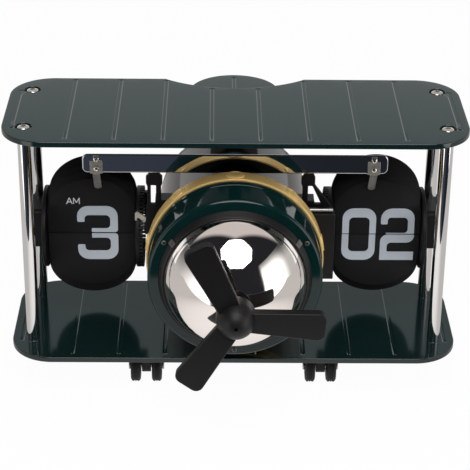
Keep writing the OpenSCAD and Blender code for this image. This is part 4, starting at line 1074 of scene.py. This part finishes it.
# A drum: two rimmed discs, a core and crown teeth on the inner disc
drum_profiles = (disc_profile(INNER_DISC_X, 17.2, 0.4, 8.0, 0, 0.2),
                 disc_profile(OUTER_DISC_X, 17.4, 0.6, 7.0, 0.9, 0.3),
                 box(SHAFT_R, 46.2, CORE_R, 88.6, 0.1))
for unit, side in UNITS:
    name = unit + "_drum_wheel"
    mesh = bmesh.new()
    along_x = move(0, DRUM_Y, AXIS_H) @ spin(side * 90, "Y")
    for profile in drum_profiles:
        turn(mesh, profile, along_x, 96)
    tooth = bmesh.new()
    slab(tooth, fillet([(17.1, -0.5, 0.1), (19.45, -0.55, 0.1), (19.45, 0.55, 0.1), (17.1, 0.5, 0.1)], 1),
         TOOTH_TIP_X, INNER_DISC_X + 0.2, 0.15, Matrix(), 1)
    ring = around.run(name, tooth, drum_black, count=TOOTH_COUNT, first_angle=0.0)
    ring.transform(along_x)
    mesh.from_mesh(ring)
    add_piece(name, mesh, drum_black, (unit + "_drum",))
for node in ("bearing_block_left", "bearing_block_right", "drive_box", "saddle"):
    dress(node, bracket_black, 0.5)
dress("carry_finger", bracket_black, 0.2)

# The hour drum's detent: a steel hook on a dark plate, by distances to the front of Y = 0
HOOK_REAR = 8.9
HOOK_FACE = 9.4
ARM_REAR = 8.95
ARM_FACE = 9.3
mesh = bmesh.new()
hook = fillet([(-46.6, 77.3, 0.3), (-45.6, 77.3, 0.3), (-45.4, 79.0, 0.3), (-41.7, 76.2, 0.3),
               (-41.3, 78.9, 0.3), (-45.5, 82.1, 0.5), (-46.5, 81.3, 0.4)])
slab(mesh, hook, HOOK_REAR, HOOK_FACE, 0.15, FACING_FRONT)
add_piece("hour_detent_hook", mesh, spring_steel, ("hour_detent",))
mesh = bmesh.new()
arm = fillet([(-42.3, 70.8, 0.3), (-33.9, 70.8, 0.3), (-33.9, 78.0, 0.3), (-32.0, 85.0, 0.3),
              (-41.3, 85.0, 0.3), (-41.3, 78.0, 0.3), (-42.3, 77.0, 0.3)])
slab(mesh, arm, ARM_REAR, ARM_FACE, 0.1, FACING_FRONT)
add_piece("hour_detent_arm", mesh, bracket_black, body="airframe")
dress("drive_rod", shaft_steel, 0.15)


# Wheels and legs

WHEEL_R = 8.0
WHEEL_W = 4.6
WHEEL_BORE = 1.55
WHEEL_X = 41.5
WHEEL_ROWS = (("front", -24.0), ("rear", 22.0))
TREAD_R = 7.7
TWIN_HALF = 2.7

# Twin wheels: treaded tyre, dished face and hub
wheel = [(WHEEL_BORE, 0.0, 0.1), (7.0, 0.0, 0.4), (WHEEL_R, 0.7, 0.5)]
for groove in (1.5, 2.5):
    wheel += [(WHEEL_R, groove, 0.1), (TREAD_R, groove + 0.15, 0.05), (TREAD_R, groove + 0.45, 0.05),
              (WHEEL_R, groove + 0.6, 0.1)]
wheel += [(WHEEL_R, 3.9, 0.5), (7.0, WHEEL_W, 0.4), (5.4, WHEEL_W, 0.3), (5.0, 3.9, 0.3), (3.2, 3.9, 0.3),
          (2.9, WHEEL_W, 0.3), (WHEEL_BORE, WHEEL_W, 0.2)]
for row, y in WHEEL_ROWS:
    for hand, x in (("left", -WHEEL_X), ("right", WHEEL_X)):
        mesh = bmesh.new()
        for side in (-1, 1):
            place = move(x + side * TWIN_HALF, y, WHEEL_R) @ spin(side * 90, "Y")
            turn(mesh, fillet(wheel, 3), place, 64)
        pair = row + "_" + hand
        add_piece(pair + "_tyres", mesh, wheel_rubber, (pair + "_wheels",))
dress("wheel_legs", bracket_black, 0.35)
dress("wheel_axles", shaft_steel, 0.2)
dress("under_wing_screws", screw_steel, 0.15)


# Tail and rear of the fuselage

TAIL_BOTTOM = 113.4
TAIL_TOP = 116.0
TAIL_GROOVE = (0, 48, 73.5)
tail = arc(-17, 49, 5, 180, 270, 8) + arc(17, 49, 5, 270, 360, 8) + arc(0, 56, 22, 0, 180, 48)
plate_piece("tailplane_plate", "tailplane", tail, TAIL_BOTTOM, TAIL_TOP, [TAIL_GROOVE])
dress("tail_boom", wing_lacquer, 0.8)
dress("rear_cover", barrel_black, 0.5)
dress("rear_screws", screw_steel, 0.25)
dress("time_knob", knob_black, 0.25)
dress("battery_cap", knob_black, 0.3)

# Pieces whose solids already have the right shape keep them, with their finish
for node, solid in frame["nodes"].items():
    if not solid.hide_render:
        solid.data.materials.clear()
        solid.data.materials.append(Finish.by_slot[slot_of[node]].material)


# Stage: floor, light and camera

FLOOR_HALF = 3.0
FLOOR_FRONT = -0.17
PAINTED_POOL_Y = -0.12
WHITE = (1.0, 1.0, 1.0, 1.0)


def bare_sheet(owner):
    """The emptied node sheet of a material or of the world."""
    owner.use_nodes = True
    owner.node_tree.nodes.clear()
    return Sheet(owner.node_tree)


def stage_panel(name, points, material):
    """A flat panel of the stage."""
    panel = bpy.data.meshes.new(name)
    panel.from_pydata([(x, y, 0) for x, y in points], [], [list(range(len(points)))])
    panel.materials.append(material)
    made = new_object(name, panel)
    return made


# The floor: white to the camera apart from the shadow; in reflections it shows a painted pool of light
# before the nose
floor_material = bpy.data.materials.new("pale_floor")
sheet = bare_sheet(floor_material)
seen = sheet.ray_kind("Is Camera Ray")
share = seen * 0.97 + sheet.ray_kind("Is Glossy Ray") * 0.85 + sheet.ray_kind("Is Transmission Ray") * 0.85
across, along, _ = sheet.split(sheet.node("ShaderNodeTexCoord", output="Object"))
# Painted pool of light: in reflections the floor glows brighter in a round patch before the nose
ahead = along - PAINTED_POOL_Y
painted_light_pool = sheet.limits(across * across + ahead * ahead, 0.001, 0.03, 1.0, 0.0)
glow = sheet.mixed(painted_light_pool, (0.55, 0.525, 0.51, 1.0), (1.0, 0.97, 0.95, 1.0))
glow = sheet.mixed(seen, glow, WHITE)
matt = sheet.node("ShaderNodeBsdfDiffuse", {"Color": (0.85, 0.84, 0.835, 1.0)})
white = sheet.node("ShaderNodeEmission", {"Color": glow, "Strength": 1.0})
both = sheet.node("ShaderNodeMixShader", {0: share, 1: matt, 2: white})
sheet.node("ShaderNodeOutputMaterial", {"Surface": both})
stage_panel("floor", box(-FLOOR_HALF, FLOOR_FRONT, FLOOR_HALF, FLOOR_HALF, 0), floor_material)

# The room: white to the camera; a wall behind the clock and a dark front show in reflections
world = bpy.data.worlds.new("studio")
bpy.context.scene.world = world
sky = bare_sheet(world)
side, away, rise = sky.split(sky.node("ShaderNodeTexCoord", output="Generated"))
wide = side.maths("ABSOLUTE", side) * sky.limits(rise, 0.1, 0.5)
behind = sky.limits(away - wide * 0.45, -0.24, -0.08)
wall = sky.mixed(sky.limits(rise, 0.27, 0.42), (1.0, 0.99, 0.98, 1.0), (0.39, 0.445, 0.45, 1.0))
wall = sky.mixed(sky.limits(rise, 0.5, 0.7), wall, (0.62, 0.57, 0.55, 1.0))
table = sky.mixed(sky.limits(side, -0.06, 0.08), (0.04, 0.048, 0.066, 1.0), (0.016, 0.019, 0.024, 1.0))
dark = sky.mixed(sky.limits(rise, -0.1, 0.1), table, (0.018, 0.018, 0.021, 1.0))
room = sky.mixed(behind, dark, wall)
room = sky.mixed(sky.ray_kind("Is Camera Ray"), room, WHITE)
light = sky.node("ShaderNodeBackground", {"Color": room, "Strength": 1.0})
sky.node("ShaderNodeOutputWorld", {"Surface": light})

SOFTBOX_AIM = Vector((0, -0.05, 0.07))


def softbox(name, toward, outline, power, *fades):
    """A glowing panel in a direction from the clock; a fade is a local axis, its range and its levels."""
    material = bpy.data.materials.new(name)
    sheet = bare_sheet(material)
    local = sheet.split(sheet.node("ShaderNodeTexCoord", output="Object"))
    level = sheet.node("ShaderNodeValue")
    level.socket.default_value = power
    for axis, *ends in fades:
        level = level * sheet.limits(local[axis], *ends)
    glow = sheet.node("ShaderNodeEmission", {"Color": (1.0, 0.985, 0.97, 1.0), "Strength": level})
    sheet.node("ShaderNodeOutputMaterial", {"Surface": glow})
    made = stage_panel(name, outline, material)
    made.location = SOFTBOX_AIM + Vector(toward).normalized()
    made.rotation_euler = (made.location - SOFTBOX_AIM).to_track_quat("Z", "Y").to_euler()
    made.visible_camera = False


OCTAGON = arc(0, 0, 0.444, 22.5, 337.5, 7)
softbox("octagon_softbox", (0.025, -0.565, 0.825), OCTAGON, 5.0)
softbox("right_softbox", (0.95, -0.26, 0.15), box(-0.66, -0.6, 0.66, 0.5, 0), 2.6,
        (0, -0.66, -0.5, 0.0, 1.0), (0, -0.15, 0.4, 1.0, 0.22), (1, 0.1, 0.5, 1.0, 0.12))
softbox("left_softbox", (-0.94, -0.34, 0.06), box(-0.75, -0.7, 0.75, 0.5, 0), 1.9,
        (0, -0.5, 0.5, 0.3, 1.0), (0, 0.55, 0.74, 1.0, 0.1), (1, -0.2, 0.4, 1.0, 0.25))

# The camera: angles in degrees
CAMERA_AZIMUTH = -0.804
CAMERA_ELEVATION = 26.9326
CAMERA_ROLL = 0.6536
CAMERA_PLACE = Vector((-9.747, -722.229, 432.223)) * MM
camera_data = bpy.data.cameras.new("camera")
camera_data.lens = 130.48
camera_data.sensor_width = 36
camera_data.clip_start = 0.01
camera = new_object("camera", camera_data)
aim = spin(CAMERA_AZIMUTH, "Z") @ spin(90 - CAMERA_ELEVATION, "X") @ spin(CAMERA_ROLL, "Z")
camera.matrix_world = move(*CAMERA_PLACE) @ aim
bpy.context.scene.camera = camera
bpy.context.scene.view_settings.view_transform = "Standard"
